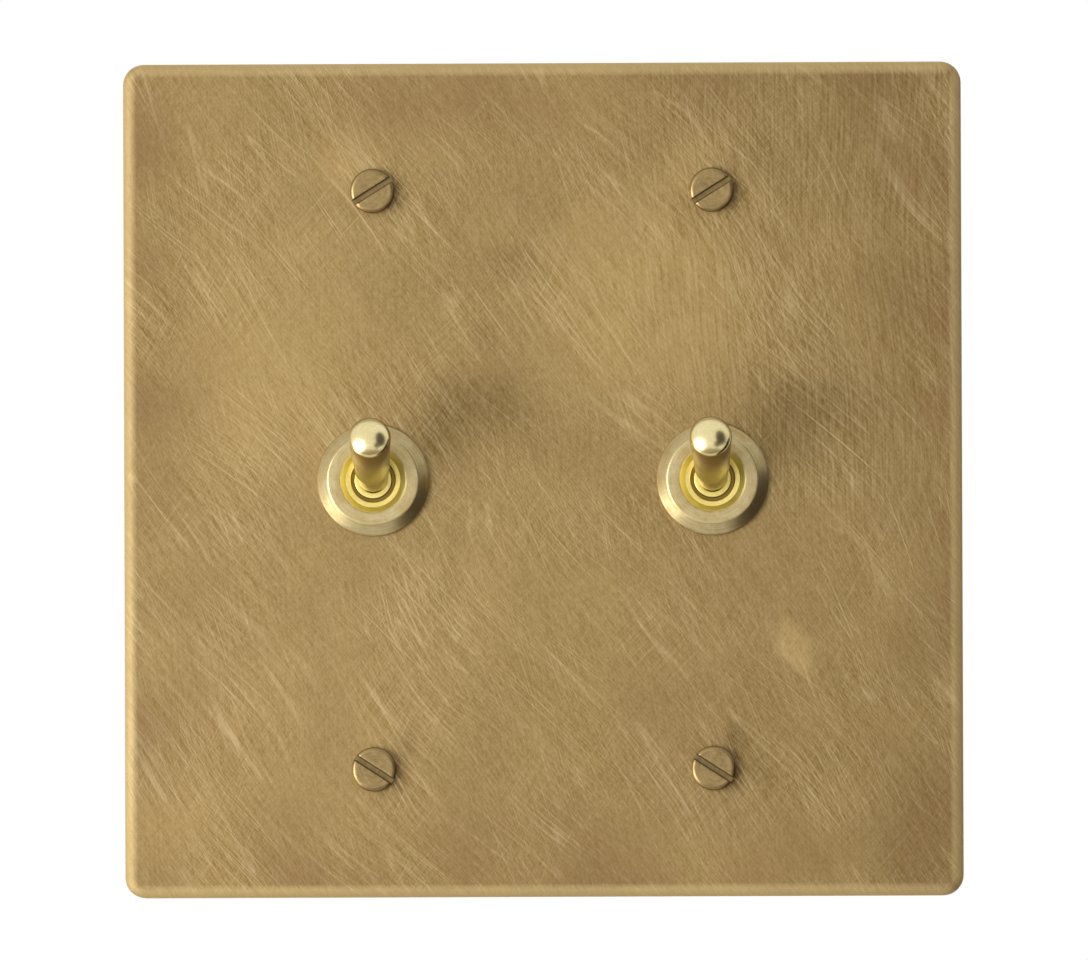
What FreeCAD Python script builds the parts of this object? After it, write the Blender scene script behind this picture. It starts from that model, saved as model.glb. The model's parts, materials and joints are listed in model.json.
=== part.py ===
import FreeCAD, Part
import math
import os

# Two-gang brass dolly switch. Millimetres and degrees.
# X runs to the right, Y into the wall and Z up. The wall plane is y = 0, at the back of the plate.
# The dollies are shown thrown up, which is the rest position.

# Front plate
plate_width = 121.0
plate_height = 120.4
plate_thickness = 2.5
plate_corner_radius = 3.0
plate_edge_round = 1.4

# Layout: two gangs side by side, one plate screw above and one below each gang
gang_spacing = 49.0
fixing_spacing_across = 49.0
fixing_spacing_up = 83.5

# Plate screws
fixing_thread_radius = 1.75
fixing_thread_length = 25.0
fixing_hole_clearance = 0.25
fixing_neck_radius = 1.4
fixing_head_radius = 3.2
fixing_head_height = 1.6
fixing_head_bevel = 0.5
fixing_slot_width = 0.9
fixing_slot_depth = 0.85
upper_slot_angle = 32.0
lower_slot_angle = -33.0

# Dress ring
ring_radius = 8.1
ring_face_radius = 6.55
ring_height = 2.2
ring_foot_height = 0.9
ring_lip_thickness = 0.65
ring_mouth_radius = 4.75
ring_mouth_taper = 0.85
ring_edge_break = 0.18

# Bush, back nut and lock washer
bush_radius = 6.0
bush_hole_clearance = 0.1
bush_shoulder_radius = 7.0
bush_shoulder_thickness = 1.0
bush_spigot_radius = 5.6
nose_radius = 2.67
nose_setback = 0.1
nose_groove_width = 0.56
nose_groove_depth = 1.4
thread_clearance = 0.05
thread_spare = 1.7
washer_radius = 9.0
washer_thickness = 0.8
washer_tooth_count = 12
washer_tooth_gap = 1.3
washer_tooth_depth = 1.3
nut_across_flats = 15.0
nut_thickness = 2.5
nut_chamfer = 0.5

# Dolly: ball between two throats, neck, tapered grip with a domed head, and tail.
# Lengths run along the dolly's own axis from the pivot.
dolly_tilt = 15.0
pivot_depth = 0.55
ball_radius = 1.8
ball_clearance = 0.07
ball_seat_behind = 0.6
throat_radius = 1.45
neck_start = 1.4
neck_radius = 2.2
grip_start = 5.9
grip_start_radius = 2.5
grip_edge_break = 0.2
head_distance = 21.0
head_radius = 3.05
head_edge_round = 1.0
dome_radius = 4.5
tail_start = 1.4
tail_radius = 1.75
tail_length = 9.0
tail_chamfer = 0.3
tail_swing_clearance = 0.3
flare_step = 0.9
pin_radius = 0.4
pin_clearance = 0.04
pin_inset = 0.1

# Plunger and spring in the tail
plunger_radius = 1.25
plunger_clearance = 0.05
plunger_stand = 3.0
plunger_guide = 2.2
plunger_bore_depth = 5.2
spring_clearance = 0.1
spring_wire_radius = 0.18
spring_turns = 4.0
spring_wire_sides = 6
spring_seat_clearance = 0.03

# Rocker, fulcrum and contacts
rocker_swing = 9.0
rocker_width = 6.0
rocker_reach = 9.0
rocker_web = 1.0
rocker_arm_thickness = 1.0
rocker_arm_setback = 0.2
rocker_cheek_height = 4.2
rocker_cheek_half_length = 3.4
rocker_cheek_slope = 1.2
track_clearance = 0.15
track_side_clearance = 0.3
fulcrum_radius = 1.0
fulcrum_clearance = 0.05
contact_arm = 7.2
contact_radius = 1.5
contact_height = 0.8
contact_gap = 0.03
fixed_contact_radius = 1.7
fixed_contact_height = 0.6

# Terminals
terminal_thickness = 1.0
terminal_width = 5.6
terminal_pad_width = 6.4
terminal_blade_length = 9.5
terminal_end_round = 1.2
terminal_bend_radius = 1.0
terminal_slot_clearance = 0.1
terminal_screw_radius = 1.5
terminal_screw_length = 5.5
terminal_screw_setback = 5.2
terminal_head_radius = 2.5
terminal_head_height = 1.7
terminal_head_bevel = 0.4
terminal_slot_width = 0.8
terminal_slot_depth = 0.8

# Case and bracket
case_side_clearance = 3.0
case_end_clearance = 2.5
case_side_wall = 1.8
case_end_wall = 2.6
case_back_wall = 2.5
case_ledge = 1.0
case_ledge_from_back = 5.0
case_corner_radius = 1.2
bracket_thickness = 1.0
bracket_clearance = 0.05
bracket_flange_depth = 4.5
bracket_bend_radius = 1.2
bracket_tab_width = 4.5
bracket_tab_offset = 8.0

# Earth tag on the plate's back
earth_tag_drop = 24.0
earth_tag_width = 8.0
earth_tag_foot = 8.0
earth_tag_height = 10.0
earth_tag_thickness = 1.0
earth_tag_bend_radius = 1.0
earth_hole_height = 6.0

# Places along Y that follow from the sizes above
plate_front = -plate_thickness
ring_front = plate_front - ring_height
bush_front = ring_front + ring_lip_thickness
nose_front = bush_front + nose_setback
pivot_y = nose_front + pivot_depth
nut_back = washer_thickness + nut_thickness
shoulder_front = nut_back + thread_spare
bracket_front = shoulder_front + bush_shoulder_thickness
bracket_back = bracket_front + bracket_thickness
groove_radius = fulcrum_radius + fulcrum_clearance
plunger_reach = tail_length + plunger_stand
track_to_axis = groove_radius + rocker_web
tip_to_axis = track_to_axis + track_clearance + plunger_radius
rocker_y = pivot_y + plunger_reach + tip_to_axis
contact_face = contact_height - rocker_arm_setback
swing_sine = math.sin(math.radians(rocker_swing))
swing_cosine = math.cos(math.radians(rocker_swing))
closed_depth = (contact_arm + contact_radius) * swing_sine + contact_face * swing_cosine
fixed_contact_z = contact_arm * swing_cosine - contact_face * swing_sine
fixed_contact_front = rocker_y + closed_depth + contact_gap
pad_front = fixed_contact_front + fixed_contact_height
case_floor = pad_front + terminal_thickness
case_back = case_floor + case_back_wall
ledge_y = case_back - case_ledge_from_back
blade_back = case_back + terminal_blade_length
terminal_screw_y = case_back + terminal_screw_setback

# Half sizes of the case, inside and out, and the blade's place across it
cavity_half_width = rocker_width / 2 + case_side_clearance
cavity_half_height = rocker_reach + case_end_clearance
case_half_width = cavity_half_width + case_side_wall
case_half_height = cavity_half_height + case_end_wall
bracket_inner = case_half_width + bracket_clearance
bracket_outer = bracket_inner + bracket_thickness
blade_right = terminal_pad_width / 2
blade_left = blade_right - terminal_thickness

along_x = FreeCAD.Vector(1, 0, 0)
along_y = FreeCAD.Vector(0, 1, 0)
along_z = FreeCAD.Vector(0, 0, 1)
origin = FreeCAD.Vector(0, 0, 0)


def block(x_range, y_range, z_range):
    """A rectangular block between two limits on each axis."""
    corner = FreeCAD.Vector(x_range[0], y_range[0], z_range[0])
    lengths = [high - low for low, high in (x_range, y_range, z_range)]
    return Part.makeBox(*lengths, corner)


def rod(radius, start, direction, length):
    """A round rod from a start point."""
    return Part.makeCylinder(radius, length, FreeCAD.Vector(*start), direction)


def outline(points, place):
    """A closed face through the points; a pair of points is an arc's middle and end."""
    edges = []
    first = place(*points[0])
    last = first
    for step in list(points[1:]) + [points[0]]:
        is_arc = isinstance(step[0], tuple)
        end = place(*(step[1] if is_arc else step))
        if is_arc:
            edges.append(Part.Arc(last, place(*step[0]), end).toShape())
        elif last.distanceToPoint(end) > 1e-6:
            edges.append(Part.LineSegment(last, end).toShape())
        last = end
    return Part.Face(Part.Wire(edges))


def turned(points):
    """A solid turned about the Y axis from (radius, y) points."""
    face = outline(points, lambda radius, y: FreeCAD.Vector(radius, y, 0))
    return face.revolve(origin, along_y, 360)


def carried(points, x_range):
    """A solid of one (y, z) section carried along X."""
    face = outline(points, lambda y, z: FreeCAD.Vector(x_range[0], y, z))
    return face.extrude(along_x * (x_range[1] - x_range[0]))


def edges_along(shape, direction, test):
    """The straight edges of a shape that run along a direction and pass a test on their middle."""
    found = []
    for edge in shape.Edges:
        if not isinstance(edge.Curve, Part.Line):
            continue
        if abs(abs(edge.Curve.Direction.dot(direction)) - 1) > 1e-6:
            continue
        if test(edge.CenterOfMass):
            found.append(edge)
    return found


def near(value, target):
    """Whether two lengths agree."""
    return abs(value - target) < 1e-4


def tilted(shape, angle, axis_y):
    """The shape turned about the X direction at a given depth."""
    return shape.rotate(FreeCAD.Vector(0, axis_y, 0), along_x, angle)


def fixing_places():
    """Centres of the plate screws with the angle of each slot."""
    places = []
    for z_sign, slot_angle in ((1, upper_slot_angle), (-1, lower_slot_angle)):
        for x_sign in (-1, 1):
            x = x_sign * fixing_spacing_across / 2
            z = z_sign * fixing_spacing_up / 2
            places.append((x, z, slot_angle))
    return places


def front_plate():
    """Square brass plate with round corners, an eased front edge and its six holes."""
    half_width = plate_width / 2
    half_height = plate_height / 2
    plate = block((-half_width, half_width), (plate_front, 0), (-half_height, half_height))
    plate = plate.makeFillet(plate_corner_radius, edges_along(plate, along_y, lambda middle: True))
    front_edges = [edge for edge in plate.Edges if near(edge.BoundBox.YMax, plate_front)]
    plate = plate.makeFillet(plate_edge_round, front_edges)
    for x in (-gang_spacing / 2, gang_spacing / 2):
        plate = plate.cut(rod(bush_radius + bush_hole_clearance, (x, plate_front, 0), along_y, plate_thickness))
    for x, z, _ in fixing_places():
        hole_radius = fixing_thread_radius + fixing_hole_clearance
        plate = plate.cut(rod(hole_radius, (x, plate_front, z), along_y, plate_thickness))
    return plate


def slotted_screw(head_radius, head_height, head_bevel, thread_radius, length, slot_width, slot_depth):
    """Low bevel-edged slotted screw along Y, head towards -Y, seat at y = 0, slot along X."""
    screw = turned([
        (0, -head_height),
        (head_radius - head_bevel, -head_height),
        (head_radius, -head_height + head_bevel),
        (head_radius, 0),
        (thread_radius, 0),
        (thread_radius, length),
        (0, length),
    ])
    half_slot = slot_width / 2
    slot = block(
        (-head_radius, head_radius),
        (-head_height, -head_height + slot_depth),
        (-half_slot, half_slot),
    )
    return screw.cut(slot)


def plate_screws():
    """The four screws that pull the plate to the wall box, thinned to a neck through the plate."""
    relief = rod(fixing_head_radius, (0, 0, 0), along_y, plate_thickness)
    relief = relief.cut(rod(fixing_neck_radius, (0, 0, 0), along_y, plate_thickness))
    screws = []
    for x, z, slot_angle in fixing_places():
        screw = slotted_screw(
            fixing_head_radius, fixing_head_height, fixing_head_bevel, fixing_thread_radius,
            fixing_thread_length, fixing_slot_width, fixing_slot_depth,
        )
        screw = screw.cut(relief)
        screw.rotate(origin, along_y, -slot_angle)
        screw.translate(FreeCAD.Vector(x, plate_front, z))
        screws.append(screw)
    return Part.makeCompound(screws)


def dress_ring():
    """Bevelled ring nut on the bush, with a flat face and a coned mouth."""
    thread = bush_radius + thread_clearance
    bevel_run = ring_radius - ring_face_radius
    bevel_rise = ring_height - ring_foot_height
    break_out = ring_edge_break * bevel_run / bevel_rise
    return turned([
        (thread, plate_front),
        (ring_radius, plate_front),
        (ring_radius, plate_front - ring_foot_height),
        (ring_face_radius + break_out, ring_front + ring_edge_break),
        (ring_face_radius - ring_edge_break, ring_front),
        (ring_mouth_radius, ring_front),
        (ring_mouth_radius - ring_mouth_taper, bush_front),
        (thread, bush_front),
    ])


def bush():
    """Threaded bush: nose inside a groove, seat for the ball, flare for the tail, riveted spigot."""
    slope = math.tan(math.radians(dolly_tilt))
    widen = 1 / math.cos(math.radians(dolly_tilt))
    seat = ball_radius + ball_clearance
    seat_end = pivot_y + ball_seat_behind
    flare = (bracket_back - pivot_y) * slope + tail_radius * widen + tail_swing_clearance
    groove_outer = nose_radius + nose_groove_width
    groove_floor = nose_front + nose_groove_depth
    body = turned([
        (seat, nose_front),
        (nose_radius, nose_front),
        (nose_radius, groove_floor),
        (groove_outer, groove_floor),
        (groove_outer, bush_front),
        (bush_radius, bush_front),
        (bush_radius, shoulder_front),
        (bush_shoulder_radius, shoulder_front),
        (bush_shoulder_radius, bracket_front),
        (bush_spigot_radius, bracket_front),
        (bush_spigot_radius, bracket_back),
        (flare, bracket_back),
        (seat + flare_step, seat_end + flare_step),
        (seat, seat_end),
    ])
    return body.cut(rod(pin_radius, (-bush_radius, pivot_y, 0), along_x, 2 * bush_radius))


def pivot_pin():
    """Steel pin pressed across the bush's nose."""
    half_length = nose_radius - pin_inset
    return rod(pin_radius, (-half_length, pivot_y, 0), along_x, 2 * half_length)


def dolly():
    """Brass dolly: bored tail, ball between two throats, neck, tapered grip and shallow domed head."""
    throat_meets_ball = math.sqrt(ball_radius ** 2 - throat_radius ** 2)
    bore = plunger_radius + plunger_clearance
    bore_end = plunger_bore_depth - tail_length
    rim = head_radius - head_edge_round
    dome_drop = math.sqrt((dome_radius - head_edge_round) ** 2 - rim ** 2)
    dome_centre = head_distance - dome_drop
    meeting = math.atan2(dome_drop, rim)

    def on_rim(angle):
        return rim + head_edge_round * math.cos(angle), head_distance + head_edge_round * math.sin(angle)

    def on_dome(angle):
        return dome_radius * math.cos(angle), dome_centre + dome_radius * math.sin(angle)

    lever = turned([
        (0, bore_end),
        (bore, bore_end),
        (bore, -tail_length),
        (tail_radius - tail_chamfer, -tail_length),
        (tail_radius, -tail_length + tail_chamfer),
        (tail_radius, -tail_start - tail_chamfer),
        (throat_radius, -tail_start),
        (throat_radius, -throat_meets_ball),
        ((ball_radius, 0), (throat_radius, throat_meets_ball)),
        (throat_radius, neck_start),
        (neck_radius, neck_start),
        (neck_radius, grip_start - grip_edge_break),
        (grip_start_radius - grip_edge_break, grip_start - grip_edge_break),
        (grip_start_radius, grip_start),
        (head_radius, head_distance),
        (on_rim(meeting / 2), on_rim(meeting)),
        (on_dome((meeting + math.pi / 2) / 2), (0, dome_centre + dome_radius)),
    ])
    pin_hole = rod(pin_radius + pin_clearance, (-ball_radius, 0, 0), along_x, 2 * ball_radius)
    return on_dolly_axis(lever.cut(pin_hole))


def on_dolly_axis(shape):
    """A piece drawn along +Y from the pivot, laid on the tilted dolly's axis with +Y outward."""
    shape.rotate(origin, along_x, 180 - dolly_tilt)
    shape.translate(FreeCAD.Vector(0, pivot_y, 0))
    return shape


def plunger():
    """Nylon plunger that slides in the tail and presses on the rocker with its round tip."""
    inner_end = -tail_length + plunger_guide
    tip_side = plunger_radius * math.sqrt(0.5)
    return on_dolly_axis(turned([
        (0, inner_end),
        (0, -plunger_reach - plunger_radius),
        ((tip_side, -plunger_reach - tip_side), (plunger_radius, -plunger_reach)),
        (plunger_radius, inner_end),
    ]))


def plunger_spring():
    """Coil spring between the end of the tail's bore and the plunger."""
    bore_end = plunger_bore_depth - tail_length
    plunger_end = plunger_guide - tail_length
    margin = spring_wire_radius + spring_seat_clearance
    coil_radius = plunger_radius - spring_clearance - spring_wire_radius
    coil_length = bore_end - plunger_end - 2 * margin
    pitch = coil_length / spring_turns
    path = Part.makeHelix(pitch, coil_length, coil_radius)
    start = FreeCAD.Vector(coil_radius, 0, 0)
    heading = FreeCAD.Vector(0, 2 * math.pi * coil_radius, pitch)
    heading.normalize()
    side = heading.cross(along_x)
    corners = []
    for step in range(spring_wire_sides + 1):
        angle = 2 * math.pi * step / spring_wire_sides
        corners.append(start + (along_x * math.cos(angle) + side * math.sin(angle)) * spring_wire_radius)
    coil = Part.Wire(path.Edges).makePipeShell([Part.makePolygon(corners)], True, True)
    coil.rotate(origin, along_x, -90)
    coil.translate(FreeCAD.Vector(0, plunger_end + margin, 0))
    return on_dolly_axis(coil)


def track_arc():
    """Radius and centre distance of the rocker's track, from the plunger tip's path over it."""
    tilt = math.radians(dolly_tilt)
    swing = math.radians(rocker_swing)
    axis_distance = plunger_reach + tip_to_axis
    ahead = axis_distance - plunger_reach * math.cos(tilt)
    aside = plunger_reach * math.sin(tilt)
    end_ahead = ahead * math.cos(swing) + aside * math.sin(swing)
    end_aside = aside * math.cos(swing) - ahead * math.sin(swing)
    rise = end_ahead - tip_to_axis
    path_radius = (end_aside ** 2 + rise ** 2) / (2 * rise)
    track_radius = path_radius + plunger_radius + track_clearance
    return track_radius, tip_to_axis + path_radius


def rocker():
    """See-saw contact bar: two arms, two cheeks that keep the plunger in, and a groove for the fulcrum."""
    arm_back = -rocker_arm_setback
    arm_front = arm_back - rocker_arm_thickness
    cheek_foot = rocker_cheek_half_length + rocker_cheek_slope
    half_width = rocker_width / 2
    bar = carried([
        (arm_back, -rocker_reach),
        (arm_front, -rocker_reach),
        (arm_front, -cheek_foot),
        (-rocker_cheek_height, -rocker_cheek_half_length),
        (-rocker_cheek_height, rocker_cheek_half_length),
        (arm_front, cheek_foot),
        (arm_front, rocker_reach),
        (arm_back, rocker_reach),
    ], (-half_width, half_width))
    bar = bar.cut(rod(groove_radius, (-half_width, 0, 0), along_x, rocker_width))
    track_radius, track_centre = track_arc()
    track_half = plunger_radius + track_side_clearance
    bar = bar.cut(rod(track_radius, (-track_half, -track_centre, 0), along_x, 2 * track_half))
    bar.translate(FreeCAD.Vector(0, rocker_y, 0))
    return tilted(bar, rocker_swing, rocker_y)


def moving_contacts():
    """Silver contacts under the two ends of the rocker."""
    buttons = []
    for z in (-contact_arm, contact_arm):
        button = rod(contact_radius, (0, rocker_y - rocker_arm_setback, z), along_y, contact_height)
        buttons.append(tilted(button, rocker_swing, rocker_y))
    return Part.makeCompound(buttons)


def fixed_contacts():
    """Flat silver contacts on the upper and lower terminals."""
    buttons = []
    for z in (-fixed_contact_z, fixed_contact_z):
        buttons.append(rod(fixed_contact_radius, (0, fixed_contact_front, z), along_y, fixed_contact_height))
    return Part.makeCompound(buttons)


def terminal(z):
    """Brass strip at one height: a pad on the case's floor, folded into a blade out of the back."""
    half_width = terminal_width / 2
    z_range = (z - half_width, z + half_width)
    strip = block((-blade_right, blade_right), (pad_front, case_floor), z_range)
    strip = strip.fuse(block((blade_left, blade_right), (pad_front, blade_back), z_range)).removeSplitter()
    fold = edges_along(strip, along_z, lambda p: near(p.x, blade_right) and near(p.y, pad_front))
    strip = strip.makeFillet(terminal_bend_radius, fold)
    ends = edges_along(strip, along_x, lambda p: near(p.y, blade_back))
    strip = strip.makeFillet(terminal_end_round, ends)
    hole = rod(
        terminal_screw_radius + thread_clearance,
        (blade_left, terminal_screw_y, z), along_x, terminal_thickness,
    )
    return strip.cut(hole)


def upper_terminal():
    """Terminal that the rocker closes when the dolly is thrown down."""
    return terminal(fixed_contact_z)


def lower_terminal():
    """Terminal that the rocker closes when the dolly is thrown up."""
    return terminal(-fixed_contact_z)


def common_terminal():
    """Middle terminal with the round-topped fulcrum that the rocker sits on."""
    half_width = rocker_width / 2
    post = carried([
        (pad_front, -fulcrum_radius),
        (rocker_y, -fulcrum_radius),
        ((rocker_y - fulcrum_radius, 0), (rocker_y, fulcrum_radius)),
        (pad_front, fulcrum_radius),
    ], (-half_width, blade_left))
    return terminal(0).fuse(post).removeSplitter()


def terminal_screws():
    """Binding screws through the three blades, heads to the right."""
    screws = []
    for z in (-fixed_contact_z, 0, fixed_contact_z):
        screw = slotted_screw(
            terminal_head_radius, terminal_head_height, terminal_head_bevel, terminal_screw_radius,
            terminal_screw_length, terminal_slot_width, terminal_slot_depth,
        )
        screw.rotate(origin, along_z, 90)
        screw.translate(FreeCAD.Vector(blade_right, terminal_screw_y, z))
        screws.append(screw)
    return Part.makeCompound(screws)


def case():
    """Moulded case, open to the front, with a ledge for the bracket's tabs and slots for the blades."""
    wide = (-case_half_width, case_half_width)
    tall = (-case_half_height, case_half_height)
    shell = block(wide, (bracket_back, case_back), tall)
    corners = edges_along(shell, along_y, lambda middle: True)
    shell = shell.makeFillet(case_corner_radius, corners)
    for side in (-1, 1):
        rebate = sorted((side * case_half_width, side * (case_half_width - case_ledge)))
        shell = shell.cut(block(rebate, (ledge_y, case_back), tall))
    shell = shell.cut(block(
        (-cavity_half_width, cavity_half_width),
        (bracket_back, case_floor),
        (-cavity_half_height, cavity_half_height),
    ))
    half_slot = terminal_width / 2 + terminal_slot_clearance
    for z in (-fixed_contact_z, 0, fixed_contact_z):
        shell = shell.cut(block(
            (blade_left - terminal_slot_clearance, blade_right + terminal_slot_clearance),
            (case_floor, case_back),
            (z - half_slot, z + half_slot),
        ))
    return shell


def bracket():
    """Folded steel bracket: a front with the bush hole, two side flanges and four tabs under the case's ledge."""
    tall = (-case_half_height, case_half_height)
    folded = block((-bracket_outer, bracket_outer), (bracket_front, bracket_back), tall)
    tab_foot = ledge_y + bracket_clearance
    foot_inner = case_half_width - case_ledge + bracket_clearance
    for side in (-1, 1):
        wall = sorted((side * bracket_inner, side * bracket_outer))
        foot = sorted((side * foot_inner, side * bracket_outer))
        folded = folded.fuse(block(wall, (bracket_front, bracket_back + bracket_flange_depth), tall))
        for z in (-bracket_tab_offset, bracket_tab_offset):
            tab = (z - bracket_tab_width / 2, z + bracket_tab_width / 2)
            folded = folded.fuse(block(wall, (bracket_back, tab_foot + bracket_thickness), tab))
            folded = folded.fuse(block(foot, (tab_foot, tab_foot + bracket_thickness), tab))
    folded = folded.removeSplitter()
    bends = edges_along(folded, along_z, lambda p: near(abs(p.x), bracket_outer) and near(p.y, bracket_front))
    folded = folded.makeFillet(bracket_bend_radius, bends)
    hole_radius = bush_spigot_radius + bracket_clearance
    return folded.cut(rod(hole_radius, (0, bracket_front, 0), along_y, bracket_thickness))


def lock_washer():
    """Internal-tooth lock washer behind the plate."""
    bore = bush_radius + bush_hole_clearance
    washer = turned([
        (bore, 0),
        (washer_radius, 0),
        (washer_radius, washer_thickness),
        (bore, washer_thickness),
    ])
    half_gap = washer_tooth_gap / 2
    for step in range(washer_tooth_count):
        gap = block((0, bore + washer_tooth_depth), (0, washer_thickness), (-half_gap, half_gap))
        gap.rotate(origin, along_y, step * 360 / washer_tooth_count)
        washer = washer.cut(gap)
    return washer


def back_nut():
    """Hexagon nut on the bush that takes the plate against the dress ring."""
    flat = nut_across_flats / 2
    corner = flat / math.cos(math.radians(30))
    points = []
    for step in range(7):
        angle = math.radians(60 * step)
        points.append(FreeCAD.Vector(corner * math.cos(angle), washer_thickness, corner * math.sin(angle)))
    hexagon = Part.Face(Part.makePolygon(points)).extrude(along_y * nut_thickness)
    bevel = turned([
        (0, washer_thickness),
        (corner, washer_thickness),
        (corner, nut_back - nut_chamfer),
        (corner - 2 * nut_chamfer, nut_back),
        (0, nut_back),
    ])
    bore = rod(bush_radius + thread_clearance, (0, washer_thickness, 0), along_y, nut_thickness)
    return hexagon.common(bevel).cut(bore)


def earth_tag():
    """Folded brass tag brazed to the plate's back for the earth wire."""
    half_width = earth_tag_width / 2
    fold_z = -earth_tag_drop
    across = (-half_width, half_width)
    tag = block(across, (0, earth_tag_thickness), (fold_z, fold_z + earth_tag_foot))
    upright = block(across, (0, earth_tag_height), (fold_z, fold_z + earth_tag_thickness))
    tag = tag.fuse(upright).removeSplitter()
    fold = edges_along(tag, along_x, lambda p: near(p.y, 0) and near(p.z, fold_z))
    tag = tag.makeFillet(earth_tag_bend_radius, fold)
    hole = rod(
        terminal_screw_radius + thread_clearance,
        (0, earth_hole_height, fold_z), along_z, earth_tag_thickness,
    )
    return tag.cut(hole)


def earth_screw():
    """Binding screw through the earth tag, head downwards."""
    screw = slotted_screw(
        terminal_head_radius, terminal_head_height, terminal_head_bevel, terminal_screw_radius,
        terminal_screw_length, terminal_slot_width, terminal_slot_depth,
    )
    screw.rotate(origin, along_x, 90)
    screw.translate(FreeCAD.Vector(0, earth_hole_height, -earth_tag_drop))
    return screw


def save(node, shape):
    """Write one node, after a test that it is made of sound solids."""
    if not shape.isValid() or not shape.Solids:
        raise ValueError(node + " is not a sound solid")
    shape.exportStep("parts/" + node + ".step")


shared_pieces = (front_plate, plate_screws, earth_tag, earth_screw)
gang_pieces = (
    dress_ring, bush, lock_washer, back_nut, bracket, case,
    common_terminal, upper_terminal, lower_terminal, fixed_contacts, terminal_screws,
    pivot_pin, dolly, plunger, plunger_spring, rocker, moving_contacts,
)

os.makedirs("parts", exist_ok=True)
for make in shared_pieces:
    save(make.__name__, make())
for make in gang_pieces:
    for side, x in (("left", -gang_spacing / 2), ("right", gang_spacing / 2)):
        piece = make()
        piece.translate(FreeCAD.Vector(x, 0, 0))
        save(side + "_" + make.__name__, piece)
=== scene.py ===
import json
import math

import bmesh
import bpy
import numpy as np
from mathutils import Matrix, Vector


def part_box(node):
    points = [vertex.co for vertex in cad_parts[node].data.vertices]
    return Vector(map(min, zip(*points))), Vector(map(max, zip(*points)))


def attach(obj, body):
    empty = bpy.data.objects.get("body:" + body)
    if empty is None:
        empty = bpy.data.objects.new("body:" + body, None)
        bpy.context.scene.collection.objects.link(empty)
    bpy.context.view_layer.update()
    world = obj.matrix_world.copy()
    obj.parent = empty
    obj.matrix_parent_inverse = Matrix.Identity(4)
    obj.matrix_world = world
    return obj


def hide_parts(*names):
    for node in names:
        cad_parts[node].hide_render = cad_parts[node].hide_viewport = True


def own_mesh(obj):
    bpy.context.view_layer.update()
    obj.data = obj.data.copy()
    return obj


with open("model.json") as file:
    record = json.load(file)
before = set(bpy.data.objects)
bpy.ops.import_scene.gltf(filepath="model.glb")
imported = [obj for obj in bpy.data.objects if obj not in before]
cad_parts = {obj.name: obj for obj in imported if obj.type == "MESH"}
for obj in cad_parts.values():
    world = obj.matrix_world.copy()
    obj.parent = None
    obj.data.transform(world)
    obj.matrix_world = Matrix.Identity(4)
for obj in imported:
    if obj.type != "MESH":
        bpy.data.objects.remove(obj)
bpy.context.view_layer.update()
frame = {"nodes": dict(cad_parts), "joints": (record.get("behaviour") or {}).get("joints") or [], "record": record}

bl_info = {
    "name": "Brass Dolly Switch",
    "version": (1, 0, 0),
    "blender": (4, 5, 0),
    "location": "View3D > Sidebar > Dolly Switch",
    "description": "Dresses a two-gang brass dolly switch with turned surfaces and finishes",
    "category": "Object",
}

# All lengths are metres; MM turns a size in millimetres into metres.
MM = 0.001
FULL_TURN = 2 * math.pi
QUARTER_TURN = math.pi / 2
SHARP_ANGLE = math.radians(32)
SIDES = ("left", "right")
OUTWARD = (0.0, -1.0, 0.0)

# Places that the frame gives: boxes of nodes, each gang's pivot, each dolly's own axis and the screws' pitch.
plate_low, plate_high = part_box("front_plate")
ring_low, ring_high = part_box("left_dress_ring")
bush_low, bush_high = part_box("left_bush")
screws_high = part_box("plate_screws")[1]
joints = {joint["name"]: joint for joint in frame["joints"]}
pivots = {side: joints[side + "_dolly_hinge"]["pos_m"] for side in SIDES}
dolly_axes = {side: joints[side + "_plunger_slide"]["axis"] for side in SIDES}
fixing_dims = frame["record"]["mounts"][0]["dims"]


def linear(text):
    """Linear colour with alpha from an sRGB hex value."""
    code = text.lstrip("#")
    shares = [int(code[start:start + 2], 16) / 255 for start in (0, 2, 4)]
    return tuple(s / 12.92 if s <= 0.04045 else ((s + 0.055) / 1.055) ** 2.4 for s in shares) + (1.0,)


def length(name, description, millimetres, least=0.0):
    """A length setting, written in millimetres and kept in metres."""
    return bpy.props.FloatProperty(
        name=name, description=description, default=millimetres * MM, min=least, precision=5, unit="LENGTH")


def angle(name, description, degrees):
    """An angle setting, written in degrees."""
    return bpy.props.FloatProperty(
        name=name, description=description, default=math.radians(degrees), subtype="ANGLE")


def power(name, description, watts):
    """A lamp's power setting in watts."""
    return bpy.props.FloatProperty(name=name, description=description, default=watts, min=0.0, unit="POWER")


def colour(name, description, code):
    """A colour setting from an sRGB hex value."""
    return bpy.props.FloatVectorProperty(
        name=name, description=description, default=linear(code), size=4, min=0.0, max=1.0, subtype="COLOR")


def share(name, description, default):
    """A setting from 0 to 1."""
    return bpy.props.FloatProperty(
        name=name, description=description, default=default, min=0.0, max=1.0, subtype="FACTOR")


class PlateSettings(bpy.types.PropertyGroup):
    """Sizes and colours of the front plate."""
    corner_radius: length("Corner radius", "Radius of the plate's corners", 3.0)
    edge_round: length("Edge width", "Width of the eased front edge, seen from the front", 1.4)
    edge_drop: length("Edge drop", "How far the eased front edge falls back", 0.8)
    bush_hole: length("Bush hole", "Radius of the holes for the bushes", 6.1)
    screw_hole: length("Screw hole", "Radius of the holes for the plate screws", 2.0)
    row_split: length("Row split", "Height that parts the middle row of holes from the others", 20.9)
    bright: colour("Worn brass", "Brass where handling has kept it bright", "#B99E69")
    patina: colour("Patina", "Brown of the aged face", "#6B5636")
    worn_edge: colour("Worn edge", "Pale brass along the eased edge", "#D2BD8C")
    red_patina: colour("Red patina", "Redder brown just inside the edges", "#7D6040")


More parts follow.
